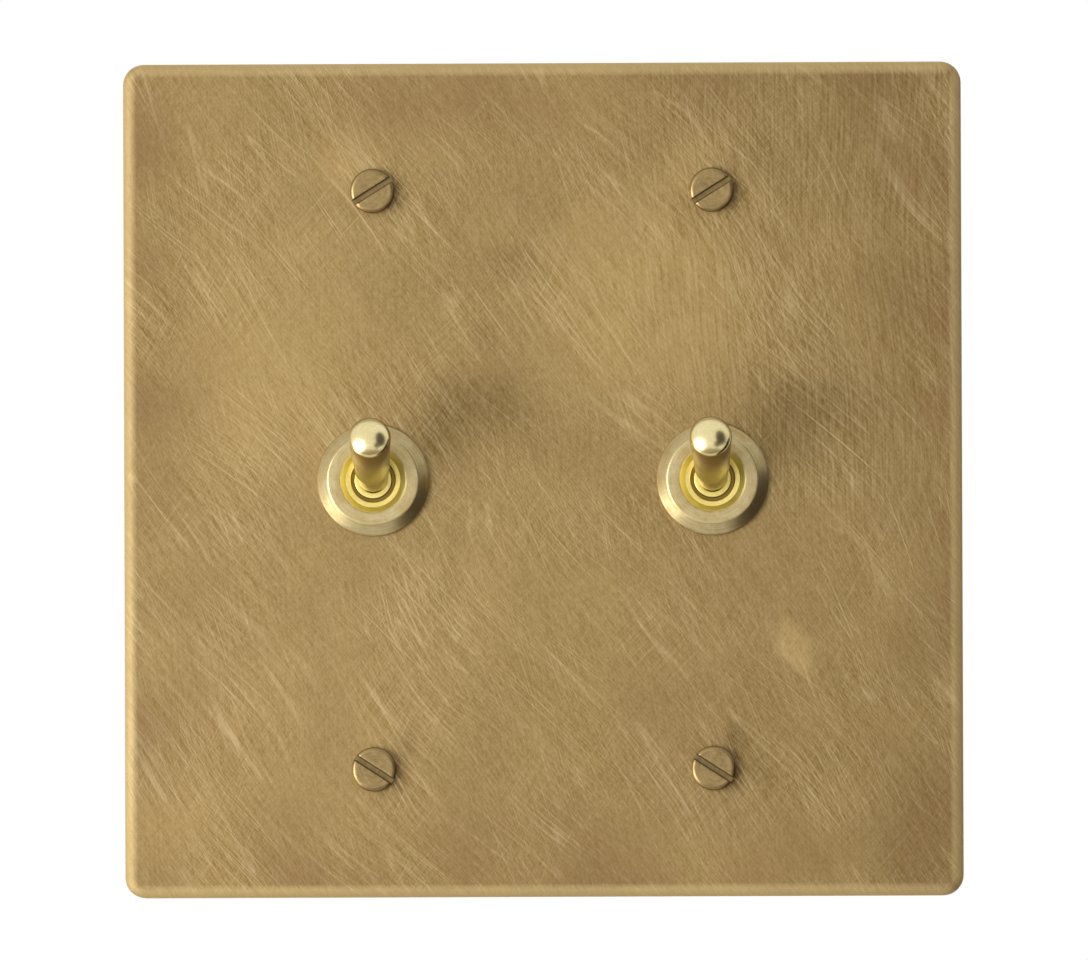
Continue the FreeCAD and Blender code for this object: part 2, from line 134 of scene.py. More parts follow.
class ScrewSettings(bpy.types.PropertyGroup):
    """Sizes and colours of the slotted screws."""
    head_radius: length("Head radius", "Radius of a plate screw's head", 3.2)
    head_height: length("Head height", "Height of a plate screw's head", 1.6)
    head_round: length("Head round", "Radius round the edge of the head", 0.5)
    slot_width: length("Slot width", "Width of a plate screw's slot", 0.9)
    slot_depth: length("Slot depth", "Depth of a plate screw's slot", 0.85)
    neck_radius: length("Neck radius", "Radius of the neck through the plate", 1.4)
    pitch: length("Thread pitch", "Pitch of a plate screw's thread", 0.6)
    upper_turn: angle("Upper slots", "Turn of the slots in the upper screws", 32)
    lower_turn: angle("Lower slots", "Turn of the slots in the lower screws", -33)
    terminal_head_radius: length("Terminal head radius", "Radius of a terminal screw's head", 2.5)
    terminal_head_height: length("Terminal head height", "Height of a terminal screw's head", 1.7)
    terminal_head_round: length("Terminal head round", "Radius round a terminal screw's head", 0.4)
    terminal_thread: length("Terminal thread", "Outer radius of a terminal screw's thread", 1.5)
    terminal_length: length("Terminal length", "Length of a terminal screw under its head", 5.5)
    terminal_slot: length("Terminal slot", "Width and depth of a terminal screw's slot", 0.8)
    terminal_pitch: length("Terminal pitch", "Pitch of a terminal screw's thread", 0.5)
    brass: colour("Screw brass", "Dulled brass of the plate screws", "#A58D60")
    dull: colour("Dull brass", "Tarnish in the turning marks", "#846F48")
    # The slots' brown is dirt with painted shade, darkest down the slot walls.
    grime_and_shade: colour("Grime", "Brown left in the slots", "#3E3018")


class RingSettings(bpy.types.PropertyGroup):
    """Sizes and colours of the dress rings."""
    face_radius: length("Face radius", "Outer radius of the flat face", 6.55)
    foot: length("Foot", "Height of the upright foot under the bevel", 0.9)
    edge_break: length("Edge break", "Break between the bevel and the face", 0.18)
    mouth_radius: length("Mouth radius", "Radius of the mouth at the face", 4.75)
    mouth_taper: length("Mouth taper", "How much the mouth narrows to the bush", 0.85)
    thread: length("Thread", "Radius of the bore on the bush's thread", 6.05)
    satin: colour("Ring brass", "Pale satin brass of the ring", "#C6B68A")
    warm: colour("Ring warm brass", "Deeper brass in the turning marks", "#B19A66")
    # Mouth colour: painted reflection, a yellower brass that stands in for brass mirrored in brass inside the
    # mouth.
    mouth: colour("Mouth brass", "Yellow brass in the mouth, which no hand has dulled", "#DDD076")


class BushSettings(bpy.types.PropertyGroup):
    """Sizes and colours of the threaded bushes."""
    radius: length("Radius", "Outer radius of the thread", 6.0)
    pitch: length("Thread pitch", "Pitch of the bush's thread", 1.0)
    shoulder: length("Shoulder", "Thickness of the shoulder in front of the bracket", 1.0)
    spigot: length("Spigot", "Radius of the spigot through the bracket", 5.6)
    bracket: length("Bracket", "Thickness of the bracket on the spigot", 1.0)
    nose: length("Nose", "Radius of the nose round the ball", 2.67)
    nose_setback: length("Nose setback", "How far the nose lies behind the bush's face", 0.1)
    groove_width: length("Groove width", "Width of the groove round the nose", 0.56)
    groove_depth: length("Groove depth", "Depth of the groove round the nose", 1.4)
    seat: length("Seat", "Radius of the ball's seat", 1.87)
    seat_behind: length("Seat behind", "Length of the seat behind the pivot", 0.6)
    flare_step: length("Flare step", "How far the bore opens behind the seat", 0.9)
    flare: length("Flare", "Radius of the opening for the tail at the back", 4.9)
    pin: length("Pin", "Radius of the pivot pin", 0.4)
    brass: colour("Bush brass", "Lemon yellow turned brass", "#F4E18E")
    warm: colour("Bush warm brass", "Deeper brass in the turning marks", "#DEC668")
    tarnish: colour("Tarnish", "Brown tarnish down in the groove", "#8C7236")


class DollySettings(bpy.types.PropertyGroup):
    """Sizes and colours of the dollies, measured along the dolly's axis from the pivot."""
    ball: length("Ball", "Radius of the pivot ball", 1.8)
    throat: length("Throat", "Radius of the throats on both sides of the ball", 1.45)
    neck_start: length("Neck start", "Distance from the pivot to the neck", 1.4)
    neck: length("Neck", "Radius of the neck", 2.2)
    grip_start: length("Grip start", "Distance from the pivot to the grip", 5.9)
    grip: length("Grip", "Radius of the grip at its start", 2.5)
    edge_break: length("Edge break", "Break at the start of the grip", 0.2)
    head: length("Head", "Radius of the head", 3.05)
    head_distance: length("Head distance", "Distance from the pivot to the head's widest place", 21.0)
    head_round: length("Head round", "Radius round the edge of the head", 1.0)
    dome: length("Dome", "Radius of the shallow dome", 4.5)
    tail_start: length("Tail start", "Distance from the pivot to the tail", 1.4)
    tail: length("Tail", "Radius of the tail", 1.75)
    tail_length: length("Tail length", "Distance from the pivot to the tail's end", 9.0)
    tail_chamfer: length("Tail chamfer", "Chamfer at both ends of the tail", 0.3)
    bore: length("Bore", "Radius of the bore for the plunger", 1.3)
    bore_depth: length("Bore depth", "Depth of the bore in the tail", 5.2)
    pin_bore: length("Pin bore", "Radius of the bore for the pivot pin", 0.44)
    brass: colour("Dolly brass", "Polished pale brass of the dolly", "#EADCA6")
    warm: colour("Dolly warm brass", "Brass where the polish has dulled", "#E2D098")
    # Shank colour: painted reflection, the yellower brass of the bush and ring mirrored in the grip.
    shank: colour("Shank brass", "Yellower brass down the grip", "#A48E3C")


class SpringSettings(bpy.types.PropertyGroup):
    """Sizes and colour of the springs between the dollies and their plungers."""
    coil: length("Coil", "Radius of the coil at the middle of the wire", 0.97)
    wire: length("Wire", "Radius of the wire", 0.18)
    turns: bpy.props.FloatProperty(name="Turns", description="Turns of the coil", default=4.0, min=1.0)
    seat: length("Seat", "Clearance at both ends of the spring", 0.03)
    guide: length("Guide", "Length of the plunger inside the tail", 2.2)
    steel: colour("Spring steel", "Drawn steel of the spring", "#7E7F82")


class FinishSettings(bpy.types.PropertyGroup):
    """Colours of the pieces behind the plate."""
    stamped: colour("Stamped brass", "Brass of the terminals and the earth tag", "#BFA05C")
    zinc: colour("Zinc plate", "Bright zinc on the bracket and washers", "#B9BABB")
    silver: colour("Silver", "Silver alloy of the contacts", "#DCD9D2")
    phenolic: colour("Phenolic", "Near-black brown of the moulded case", "#1F1A17")
    nylon: colour("Nylon", "Off-white of the plunger", "#DAD6C8")


class StageSettings(bpy.types.PropertyGroup):
    """Camera, floor and light."""
    view_distance: length("View distance", "Distance of the camera from the plate", 4360)
    view_width: length("View width", "Width of the view at the plate", 157.05)
    view_aim_x: length("Aim across", "Point on the plate at the middle of the view", 0.15, -1.0)
    view_aim_z: length("Aim up", "Point on the plate at the middle of the view", -0.05, -1.0)
    view_right: angle("View from the right", "How far right of square the camera stands", 1.1)
    view_below: angle("View from below", "How far below square the camera stands", 1.6)
    view_roll: angle("View roll", "How far the camera is rolled", 0.2)
    floor_drop: length("Floor drop", "Height of the plate's middle above the floor", 1200)
    key_power: power("Key light", "Power of the soft light at the lower left", 11.0)
    rake_power: power("Raking light", "Power of the small low light at the lower left", 0.5)
    fill: share("Fill", "Strength of the surroundings for matt surfaces", 0.9)
    floor: colour("Floor", "Pale floor", "#F2F1EE")


def quads(rows, columns, closed):
    """Corner numbers of the quads on a grid; a closed grid joins its last column to its first."""
    row, column = np.meshgrid(np.arange(rows - 1), np.arange(columns - (not closed)), indexing="ij")
    after = (column + 1) % columns
    corners = (row * columns + column, row * columns + after,
               (row + 1) * columns + after, (row + 1) * columns + column)
    return np.stack(corners, axis=-1).reshape(-1, 4)


def sheets_to_mesh(name, sheets):
    """One mesh from sheets of (grid of points, lay, tint, closed or not), merged where they meet."""
    points, lays, tints, faces = [], [], [], []
    start = 0
    for grid, lay, tint, closed in sheets:
        rows, columns = grid.shape[:2]
        faces.append(quads(rows, columns, closed) + start)
        points.append(grid.reshape(-1, 3))
        lays.append(np.broadcast_to(lay, grid.shape).reshape(-1, 3))
        tints.append(np.broadcast_to(tint, (rows, columns)).ravel())
        start += rows * columns
    mesh = bpy.data.meshes.new(name)
    mesh.from_pydata(np.concatenate(points).tolist(), [], np.concatenate(faces).tolist())
    turn = mesh.attributes.new("lay", "FLOAT_VECTOR", "POINT")
    turn.data.foreach_set("vector", np.concatenate(lays).astype(np.float32).ravel())
    shade = mesh.attributes.new("tint", "FLOAT", "POINT")
    shade.data.foreach_set("value", np.concatenate(tints).astype(np.float32))
    tidy(mesh)
    return mesh


def tidy(mesh):
    """Merge the doubles of seams and poles, drop faces with no area and turn the rest outward."""
    seam, sliver = 1e-7, 1e-8
    work = bmesh.new()
    work.from_mesh(mesh)
    bmesh.ops.remove_doubles(work, verts=work.verts, dist=seam)
    bmesh.ops.dissolve_degenerate(work, dist=sliver, edges=work.edges)
    bmesh.ops.recalc_face_normals(work, faces=work.faces)
    work.to_mesh(mesh)
    work.free()


def place_piece(name, sheets, material, body, node, bore=None):
    """A piece from sheets, which rides on a body and stands for a node; a bore is (radius, centre, reach)."""
    mesh = sheets_to_mesh(name, sheets)
    if bore:
        mesh = bored(mesh, *bore)
    mesh.polygons.foreach_set("use_smooth", np.ones(len(mesh.polygons), bool))
    mesh.set_sharp_from_angle(angle=SHARP_ANGLE)
    mesh.materials.append(material)
    piece = bpy.data.objects.new(name, mesh)
    bpy.context.scene.collection.objects.link(piece)
    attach(piece, body)
    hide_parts(node)
    return piece


def eased(corners, rounds, steps=4):
    """A profile through corners, each eased by a parabola that is tangent to both of its sides."""
    corners = np.array(corners, float)
    before = np.roll(corners, 1, axis=0) - corners
    after = np.roll(corners, -1, axis=0) - corners
    t = np.linspace(0, 1, steps + 1)[:, None]
    pieces = []
    for corner, back, on, reach in zip(corners, before, after, rounds):
        if reach == 0:
            pieces.append(corner[None])
            continue
        first = corner + back / np.linalg.norm(back) * reach
        last = corner + on / np.linalg.norm(on) * reach
        pieces.append((1 - t) ** 2 * first + 2 * t * (1 - t) * corner + t ** 2 * last)
    return np.concatenate(pieces)


def turned(radius, along, centre, axis, sides=96, tint=0.0):
    """A profile turned once round an axis, with the lay of its turning marks and a tint along it.

    Point = centre + along * axis + radius * (cos a * across + sin a * (axis x across)), where across is X,
    or Y for an axis along X; radius may differ round the turn.
    Lay = (cos a, sin a, length of profile so far), so that a pattern can follow the turning marks.
    """
    angle = np.linspace(0, FULL_TURN, sides, endpoint=False)
    axis = np.array(axis, float)
    across = np.eye(3)[int(abs(axis[0]) > 0.9)]
    spokes = np.cos(angle)[:, None] * across + np.sin(angle)[:, None] * np.cross(axis, across)
    radius = np.asarray(radius, float)
    if radius.ndim == 1:
        radius = np.repeat(radius[:, None], sides, axis=1)
    grid = np.array(centre) + along[:, None, None] * axis + radius[..., None] * spokes
    run = np.concatenate(([0], np.cumsum(np.hypot(np.diff(radius[:, 0]), np.diff(along)))))
    lay = np.stack(np.broadcast_arrays(np.cos(angle)[None], np.sin(angle)[None], run[:, None]), axis=-1)
    return grid, lay, np.broadcast_to(tint, along.shape)[:, None], True


def thread(along, angle, radius, pitch, depth):
    """Radius of a V thread: the outer radius less a triangle wave of along / pitch + angle / full turn.

    The wave fades out over one pitch at both ends.
    """
    phase = along[:, None] / pitch + angle[None] / FULL_TURN
    wave = np.abs(2 * (phase % 1) - 1)
    reach = np.minimum(along - along.min(), along.max() - along) / pitch
    return radius - depth * wave * np.clip(reach, 0, 1)[:, None]


def bored(mesh, radius, centre, reach):
    """Cut a hole along X through a mesh: a closed rod is taken away from it."""
    radii = np.array([0, radius, radius, 0])
    along = np.array([-reach, -reach, reach, reach])
    rod_mesh = sheets_to_mesh("rod", [turned(radii, along, centre, (1, 0, 0), sides=48)])
    rod = bpy.data.objects.new("rod", rod_mesh)
    whole = bpy.data.objects.new("whole", mesh)
    for part in (rod, whole):
        bpy.context.scene.collection.objects.link(part)
    cut = whole.modifiers.new("bore", "BOOLEAN")
    cut.operation = "DIFFERENCE"
    cut.solver = "EXACT"
    cut.object = rod
    graph = bpy.context.evaluated_depsgraph_get()
    result = bpy.data.meshes.new_from_object(whole.evaluated_get(graph))
    if len(result.polygons) < len(mesh.polygons) / 2:
        raise RuntimeError("the bore left too little of " + mesh.name)
    for part in (rod, whole):
        bpy.data.objects.remove(part)
    return result


def slotted_screw(centre, axis, slot_line, head, thread_radius, neck, total, pitch, slot):
    """Sheets of one slotted screw whose seat is at centre, with its head along axis.

    Top: height over the head's disc is round_top outside the slot and flat inside it, on a grid whose one way
    runs across the slot and whose other way runs along it, out to the head's radius.
    Below: rings with the top's own outline go down the head, in to the neck and along a V thread to the tip.
    Tint: dirt in the slot with painted shade, darkest down its walls and lips, and an even dullness below the top.
    """
    head_radius, head_height, head_round = head
    neck_radius, neck_length = neck
    slot_width, slot_depth = slot
    axis = np.array(axis, float)
    slot_way = np.array(slot_line, float)
    cross_way = np.cross(axis, slot_way)
    lip = 0.06 * MM
    flat_rows, along_steps, rows_per_pitch = 15, 25, 4
    thread_depth, tip_share, dullness = 0.55 * pitch, 0.75, 0.4
    # Slot tint: dirt with painted shade that darkens the lips towards the walls, and the walls most.
    lip_dirt_and_shade, floor_dirt_and_shade = (0.1, 0.3, 0.8), (1.0, 0.35)

    # Half of the rows across the head, from its edge over the slot's lip to its floor, then both halves.
    half = slot_width / 2
    outer = head_radius * np.sin(np.linspace(QUARTER_TURN, math.asin((half + lip) / head_radius), flat_rows))
    turn = np.linspace(0, QUARTER_TURN, len(lip_dirt_and_shade) + 1)[1:]
    flat = np.zeros(flat_rows)
    across = np.concatenate((outer, half + lip * (1 - np.sin(turn)), [half, half / 2]))
    drop = np.concatenate((flat, lip * (1 - np.cos(turn)), [0, 0]))
    in_slot = np.concatenate((flat, [0, 0, 0], [1, 1]))
    dirt_and_shade = np.concatenate((flat, lip_dirt_and_shade, floor_dirt_and_shade))
    across = np.concatenate((across, -across[::-1]))[:, None]
    drop, in_slot, dirt_and_shade = (np.concatenate((row, row[::-1]))[:, None] for row in (drop, in_slot, dirt_and_shade))

    reach = np.sqrt(np.maximum(head_radius ** 2 - across ** 2, 0))
    along = reach * np.sin(np.linspace(-QUARTER_TURN, QUARTER_TURN, along_steps))
    across = np.broadcast_to(across, along.shape)
    out = np.minimum(np.hypot(along, across), head_radius)
    fall = np.maximum(out - (head_radius - head_round), 0)
    round_top = head_height - head_round + np.sqrt(np.maximum(head_round ** 2 - fall ** 2, 0))
    height = (round_top - drop) * (1 - in_slot) + (head_height - slot_depth) * in_slot
    top = along[..., None] * slot_way + across[..., None] * cross_way + height[..., None] * axis

    # The rim of that grid, once round, and the rings under it.
    rim_along, rim_across, rim_height = (
        np.concatenate((grid[:, -1], grid[::-1, 0][1:-1])) for grid in (along, across, height))
    angle = np.arctan2(rim_across, rim_along)
    shank = np.linspace(-neck_length, -total, int(round((total - neck_length) / pitch * rows_per_pitch)) + 1)

    def stacked(*rings):
        """Rings one under another, each spread round the turn."""
        return np.concatenate([np.broadcast_to(ring, (len(ring), len(angle))) for ring in rings])

    radius = stacked(
        np.array([[head_radius], [head_radius], [neck_radius], [neck_radius]]),
        thread(shank, angle, thread_radius, pitch, thread_depth),
        np.array([[thread_radius * tip_share], [0.0]]))
    level = stacked(
        rim_height[None], np.array([[0.0], [0.0], [-neck_length]]), shank[:, None], np.full((2, 1), -total))
    spokes = np.cos(angle)[:, None] * slot_way + np.sin(angle)[:, None] * cross_way
    below = radius[..., None] * spokes + level[..., None] * axis
    least = 1e-6
    some = np.maximum(out, least)
    top_lay = np.stack((along / some, across / some, out), axis=-1)
    below_lay = np.stack(np.broadcast_arrays(
        np.cos(angle), np.sin(angle), head_radius + head_height - level), axis=-1)
    centre = np.array(centre, float)
    return [(top + centre, top_lay, dirt_and_shade, False), (below + centre, below_lay, dullness, True)]


def join(tree, node, inputs):
    """Set a node's inputs, given in order or by name, to values, or link them to nodes or sockets."""
    for key, value in inputs.items() if isinstance(inputs, dict) else enumerate(inputs):
        if isinstance(value, bpy.types.Node):
            value = next(output for output in value.outputs if output.enabled)
        if isinstance(value, bpy.types.NodeSocket):
            tree.links.new(value, node.inputs[key])
        else:
            node.inputs[key].default_value = value


def add(tree, kind, inputs=(), **settings):
    """Add one node, such as TexNoise or Math ADD, with its settings and its inputs, in order or by name.

    The inputs of MapRange in order: value, from low, from high, to low, to high.
    """
    kind, _, operation = kind.partition(" ")
    node = tree.nodes.new("ShaderNode" + kind)
    if operation:
        node.operation = operation
    for key, value in settings.items():
        setattr(node, key, value)
    join(tree, node, inputs)
    return node


def new_material(name, **values):
    """A material with one shader whose constant values are set on its own sockets."""
    material = bpy.data.materials.new(name)
    material.use_nodes = True
    tree = material.node_tree
    shader = tree.nodes["Principled BSDF"]
    join(tree, shader, {key.replace("_", " "): value for key, value in values.items()})
    return material, tree, shader


def deeper(light, part):
    """A deeper shade of a colour: a part of its light."""
    return tuple(level * part for level in light[:3]) + (1.0,)


def clouded(tree, place, tone, clouds):
    """Vary a tone by soft noise; each cloud is (size in millimetres, detail, amount)."""
    for size, detail, amount in clouds:
        cloud = add(tree, "TexNoise", {"Vector": place, "Scale": 1 / (size * MM), "Detail": detail})
        level = add(tree, "Math SUBTRACT", (cloud, 0.5))
        tone = add(tree, "Math MULTIPLY_ADD", (level, amount, tone))
    return tone


def drawn_noise(tree, place, turn, long, wide, roughness=0.5):
    """Noise drawn out along a stroke; the turn is in degrees, the length and width are in millimetres."""
    stroke = add(tree, "Mapping", {
        "Vector": place, "Rotation": (0, 0, math.radians(turn)), "Scale": (long * MM, wide * MM, 1.0),
    }, vector_type="TEXTURE")
    return add(tree, "TexNoise", {"Vector": stroke, "Scale": 1.0, "Detail": 1.0, "Roughness": roughness})


def scratched(tree, tone, relief, mark, where):
    """A tone brightened and a relief cut by a mark, where it shows."""
    mark = add(tree, "Math MULTIPLY", (mark, where))
    tone = add(tree, "Math ADD", (tone, mark))
    return tone, add(tree, "Math SUBTRACT", (relief, mark))


def aged_satin_brass(plate):
    """Sheet brass, satin rubbed by hand and left to age: brown patina, pale worn edges and fine scratches."""
    material, tree, shader = new_material("aged_satin_brass", Metallic=1.0)
    x, y, z = add(tree, "SeparateXYZ", (add(tree, "TexCoord").outputs["Object"],)).outputs
    face = add(tree, "CombineXYZ", (x, z, y))

    # A hand's strokes aren't straight: the place that they are drawn on wanders by a few millimetres.
    wander_size, wander_reach = 45 * MM, 9 * MM
    wander = add(tree, "TexNoise", {"Vector": face, "Scale": 1 / wander_size, "Detail": 1.0})
    swing = add(tree, "VectorMath SUBTRACT", (wander.outputs["Color"], (0.5, 0.5, 0.5)))
    bent = add(tree, "VectorMath MULTIPLY_ADD", (swing, (wander_reach, wander_reach, 0.0), face))

    # Patina in clouds, from the size of a palm down to a grain of the rubbing grit.
    patina = clouded(tree, face, 0.5, ((38, 2.0, 0.30), (7, 3.0, 0.22)))
    tone = clouded(tree, face, patina, ((0.9, 2.0, 0.26), (0.4, 1.0, 0.27)))

    # Hairlines of the rubbing: noise drawn out along each stroke, in patches that come and go. The strongest
    # of them are bright scratches. Real ones are finer; these are as coarse as shows.
    patch_size, least_share, shown, brightest = 17 * MM, 0.35, (0.44, 0.66), (0.66, 0.78)
    patches = add(tree, "TexNoise", {"Vector": face, "Scale": 1 / patch_size, "Detail": 1.0})
    patches = add(tree, "SeparateXYZ", (patches.outputs["Color"],)).outputs
    right_half = add(tree, "MapRange", (x, -15 * MM, 40 * MM))
    upper_half = add(tree, "MapRange", (z, -30 * MM, 15 * MM))
    upper_right = add(tree, "Math MULTIPLY", (right_half, upper_half))
    relief = 0.0
    for turn, long, wide, amount, bright, patch in (
            (-48, 40, 0.22, 0.60, 0.36, patches[0]), (-40, 48, 0.24, 0.46, 0.32, patches[1]),
            (-57, 36, 0.20, 0.54, 0.36, patches[2]), (-65, 44, 0.24, 0.46, 0.32, patches[0]),
            (50, 14, 0.24, 0.28, 0.14, patches[2]), (-86, 8, 0.34, 0.66, 0.0, upper_right),
            (-74, 16, 0.17, 0.52, 0.30, patches[1]), (64, 11, 0.17, 0.34, 0.22, patches[0])):
        hair = drawn_noise(tree, bent, turn, long, wide, roughness=0.6)
        where = add(tree, "MapRange", (patch, *shown))
        level = add(tree, "Math SUBTRACT", (hair, 0.5))
        weight = add(tree, "MapRange", (where, 0.0, 1.0, amount * least_share, amount))
        tone = add(tree, "Math MULTIPLY_ADD", (level, weight, tone))
        mark = add(tree, "MapRange", (hair, *brightest, 0.0, bright))
        tone, relief = scratched(tree, tone, relief, mark, where)

    # Long single scratches: noise drawn out along a stroke leaves a thin line where it crosses its middle.
    line_width, shown = 0.009, (0.46, 0.62)
    for turn, long, gap, bright, patch in (
            (-45, 110, 5.2, 0.25, patches[1]), (-53, 90, 4.4, 0.28, patches[0]),
            (-61, 100, 5.6, 0.25, patches[2])):
        drift = drawn_noise(tree, bent, turn, long, gap)
        off = add(tree, "Math SUBTRACT", (drift, 0.5))
        off = add(tree, "Math ABSOLUTE", (off,))
        mark = add(tree, "MapRange", (off, 0.0, line_width, bright, 0.0))
        where = add(tree, "MapRange", (patch, *shown))
        tone, relief = scratched(tree, tone, relief, mark, where)

    # Fine marks are paler than the patina that they cut through, and painted shade darkens the face to the right
    # and up, away from the lights at the lower left.
    paler, shade_across, shade_up = 0.3, -1.2, -0.2
    fine = add(tree, "Math SUBTRACT", (tone, patina))
    depth = add(tree, "Math MULTIPLY_ADD", (fine, -paler, 1.0))
    # Painted shade: the tone falls to the right and up.
    tone = add(tree, "Math MULTIPLY_ADD", (x, shade_across, tone))
    tone = add(tree, "Math MULTIPLY_ADD", (z, shade_up, tone))

    # Soft spots, in millimetres across, up, wide and high, with the amount of each: paler and darker patches,
    # painted shadows of the screws and painted shadows of the dollies right of their rings.
    # Painted shadows of the four screws, a little right of each head.
    screw_shadows = [(across, up, 2.4, 3.6, -0.30) for up in (41.0, -42.5) for across in (-21.7, 27.3)]
    wear_and_shadow, fade = 0.0, (0.2, 1.2)
    for across, up, width, height, amount in (
            (-38, 18, 16, 16, 0.06), (15, 25, 20, 22, 0.24), (-27.5, 46.5, 6, 6, 0.18), (22, 46, 6, 6, 0.16),
            # (-11, 11) and (38, 11) are painted shadows of the dollies, right of their rings.
            (55, -53, 10, 14, -0.10), (-4, 31, 5, 4, -0.10), (-58, 26, 9, 40, -0.12), (-11, 11, 12, 6, -0.15),
            *screw_shadows, (38, 11, 12, 6, -0.13), (28, -57, 22, 9, 0.12), (28.0, -37.2, 2.6, 3.4, -0.20),
            (-19.8, -38.2, 2.4, 3.0, -0.16)):
        spot = add(tree, "Mapping", {
            "Vector": face, "Location": (across * MM, up * MM, 0), "Scale": (width * MM, height * MM, 1.0),
        }, vector_type="TEXTURE")
        far = add(tree, "VectorMath LENGTH", (spot,)).outputs["Value"]
        soft = add(tree, "MapRange", (far, *fade, amount, 0.0), interpolation_type="SMOOTHSTEP")
        wear_and_shadow = add(tree, "Math ADD", (wear_and_shadow, soft))

    # One patch is rubbed bare: a leaning diamond with a clear outline. None of these spots, painted shadows
    # included, is on the back.
    outline, bareness = (0.6, 1.0), 0.24
    diamond = add(tree, "Mapping", {
        "Vector": bent, "Location": (36.5 * MM, -23.8 * MM, 0), "Rotation": (0, 0, math.radians(22)),
        "Scale": (3.2 * MM, 6.0 * MM, 1.0)}, vector_type="TEXTURE")
    far = add(tree, "VectorMath ABSOLUTE", (diamond,))
    far = add(tree, "VectorMath DOT_PRODUCT", (far, (1, 1, 0))).outputs["Value"]
    bare = add(tree, "MapRange", (far, *outline, bareness, 0.0))
    wear_and_shadow = add(tree, "Math ADD", (wear_and_shadow, bare))
    front = add(tree, "MapRange", (y, plate_low.y + plate.edge_drop, plate_high.y, 1.0, 0.0))
    tone = add(tree, "Math MULTIPLY_ADD", (wear_and_shadow, front, tone))

    # Distance past the flat face: the eased edge is worn pale and dull, with a redder patina just inside it.
    edge_light, edge_dull, edge_share = 0.14, 0.45, 0.9
    red_size, red_clouds, red_share = 14 * MM, (0.42, 0.68), 0.55
    dull, rubbed = 0.56, 0.44
    past = []
    for place, half in ((x, plate_high.x), (z, plate_high.z)):
        off = add(tree, "Math ABSOLUTE", (place,))
        past.append(add(tree, "Math SUBTRACT", (off, half - plate.edge_round)))
    past = add(tree, "Math MAXIMUM", past)
    edge = add(tree, "MapRange", (past, -0.5 * MM, 0.4 * MM))
    wear_and_reflection = add(tree, "MapRange", (past, -0.5 * MM, 1.3 * MM, 0.0, edge_share))
    inner = add(tree, "MapRange", (past, -16 * MM, -1 * MM))
    tone = add(tree, "Math MULTIPLY_ADD", (edge, edge_light, tone), use_clamp=True)
    base = add(tree, "Mix", {0: tone, 6: tuple(plate.patina), 7: tuple(plate.bright)}, data_type="RGBA")
    red = add(tree, "TexNoise", {"Vector": face, "Scale": 1 / red_size, "Detail": 3.0})
    red = add(tree, "MapRange", (red, *red_clouds, 0.0, red_share))
    red = add(tree, "Math MULTIPLY", (red, inner))
    off_edge = add(tree, "Math SUBTRACT", (1.0, edge))
    red = add(tree, "Math MULTIPLY", (red, off_edge))
    base = add(tree, "Mix", {0: red, 6: base, 7: tuple(plate.red_patina)}, data_type="RGBA")
    base = add(tree, "HueSaturation", {"Color": base, "Saturation": depth})
    base = add(tree, "Mix", {0: wear_and_reflection, 6: base, 7: tuple(plate.worn_edge)}, data_type="RGBA")
    rough = add(tree, "MapRange", (tone, 0.0, 1.0, dull, rubbed))
    rough = add(tree, "Math MULTIPLY_ADD", (wear_and_reflection, edge_dull, rough), use_clamp=True)
    bump = add(tree, "Bump", {"Height": relief, "Strength": 0.25, "Distance": 0.02 * MM})
    join(tree, shader, {"Base Color": base, "Roughness": rough, "Normal": bump})
    return material


def turned_brass(name, light, deep, tint, polish, mark_width, mark_depth, cloud_size):
    """Brass off the lathe: fine rings along the turning, a cloudy tarnish and a tint where it is set."""
    material, tree, shader = new_material(name, Metallic=1.0)
    round_turn, speck_size, speck_share, spread, dulling = 1.2, 0.35 * MM, 0.5, (0.95, 1.6), 0.06
    lay = add(tree, "Attribute", attribute_name="lay").outputs["Vector"]
    ring = add(tree, "VectorMath MULTIPLY", (lay, (round_turn, round_turn, 1 / mark_width)))
    marks = add(tree, "TexNoise", {"Vector": ring, "Scale": 1.0, "Detail": 2.0})
    place = add(tree, "TexCoord").outputs["Object"]
    cloud = add(tree, "TexNoise", {"Vector": place, "Scale": 1 / cloud_size, "Detail": 3.0})
    speck = add(tree, "TexNoise", {"Vector": place, "Scale": 1 / speck_size, "Detail": 1.0})
    tone = add(tree, "Math ADD", (marks, cloud))
    tone = add(tree, "Math MULTIPLY_ADD", (speck, speck_share, tone))
    tone = add(tree, "MapRange", (tone, *spread))
    base = add(tree, "Mix", {0: tone, 6: tuple(light), 7: tuple(deep)}, data_type="RGBA")
    shade = add(tree, "Attribute", attribute_name="tint").outputs["Fac"]
    base = add(tree, "Mix", {0: shade, 6: base, 7: tuple(tint)}, data_type="RGBA")
    rough = add(tree, "MapRange", (tone, 0.0, 1.0, polish, polish + dulling))
    bump = add(tree, "Bump", {"Height": marks, "Strength": 0.3, "Distance": mark_depth})
    join(tree, shader, {"Base Color": base, "Roughness": rough, "Normal": bump})
    return material


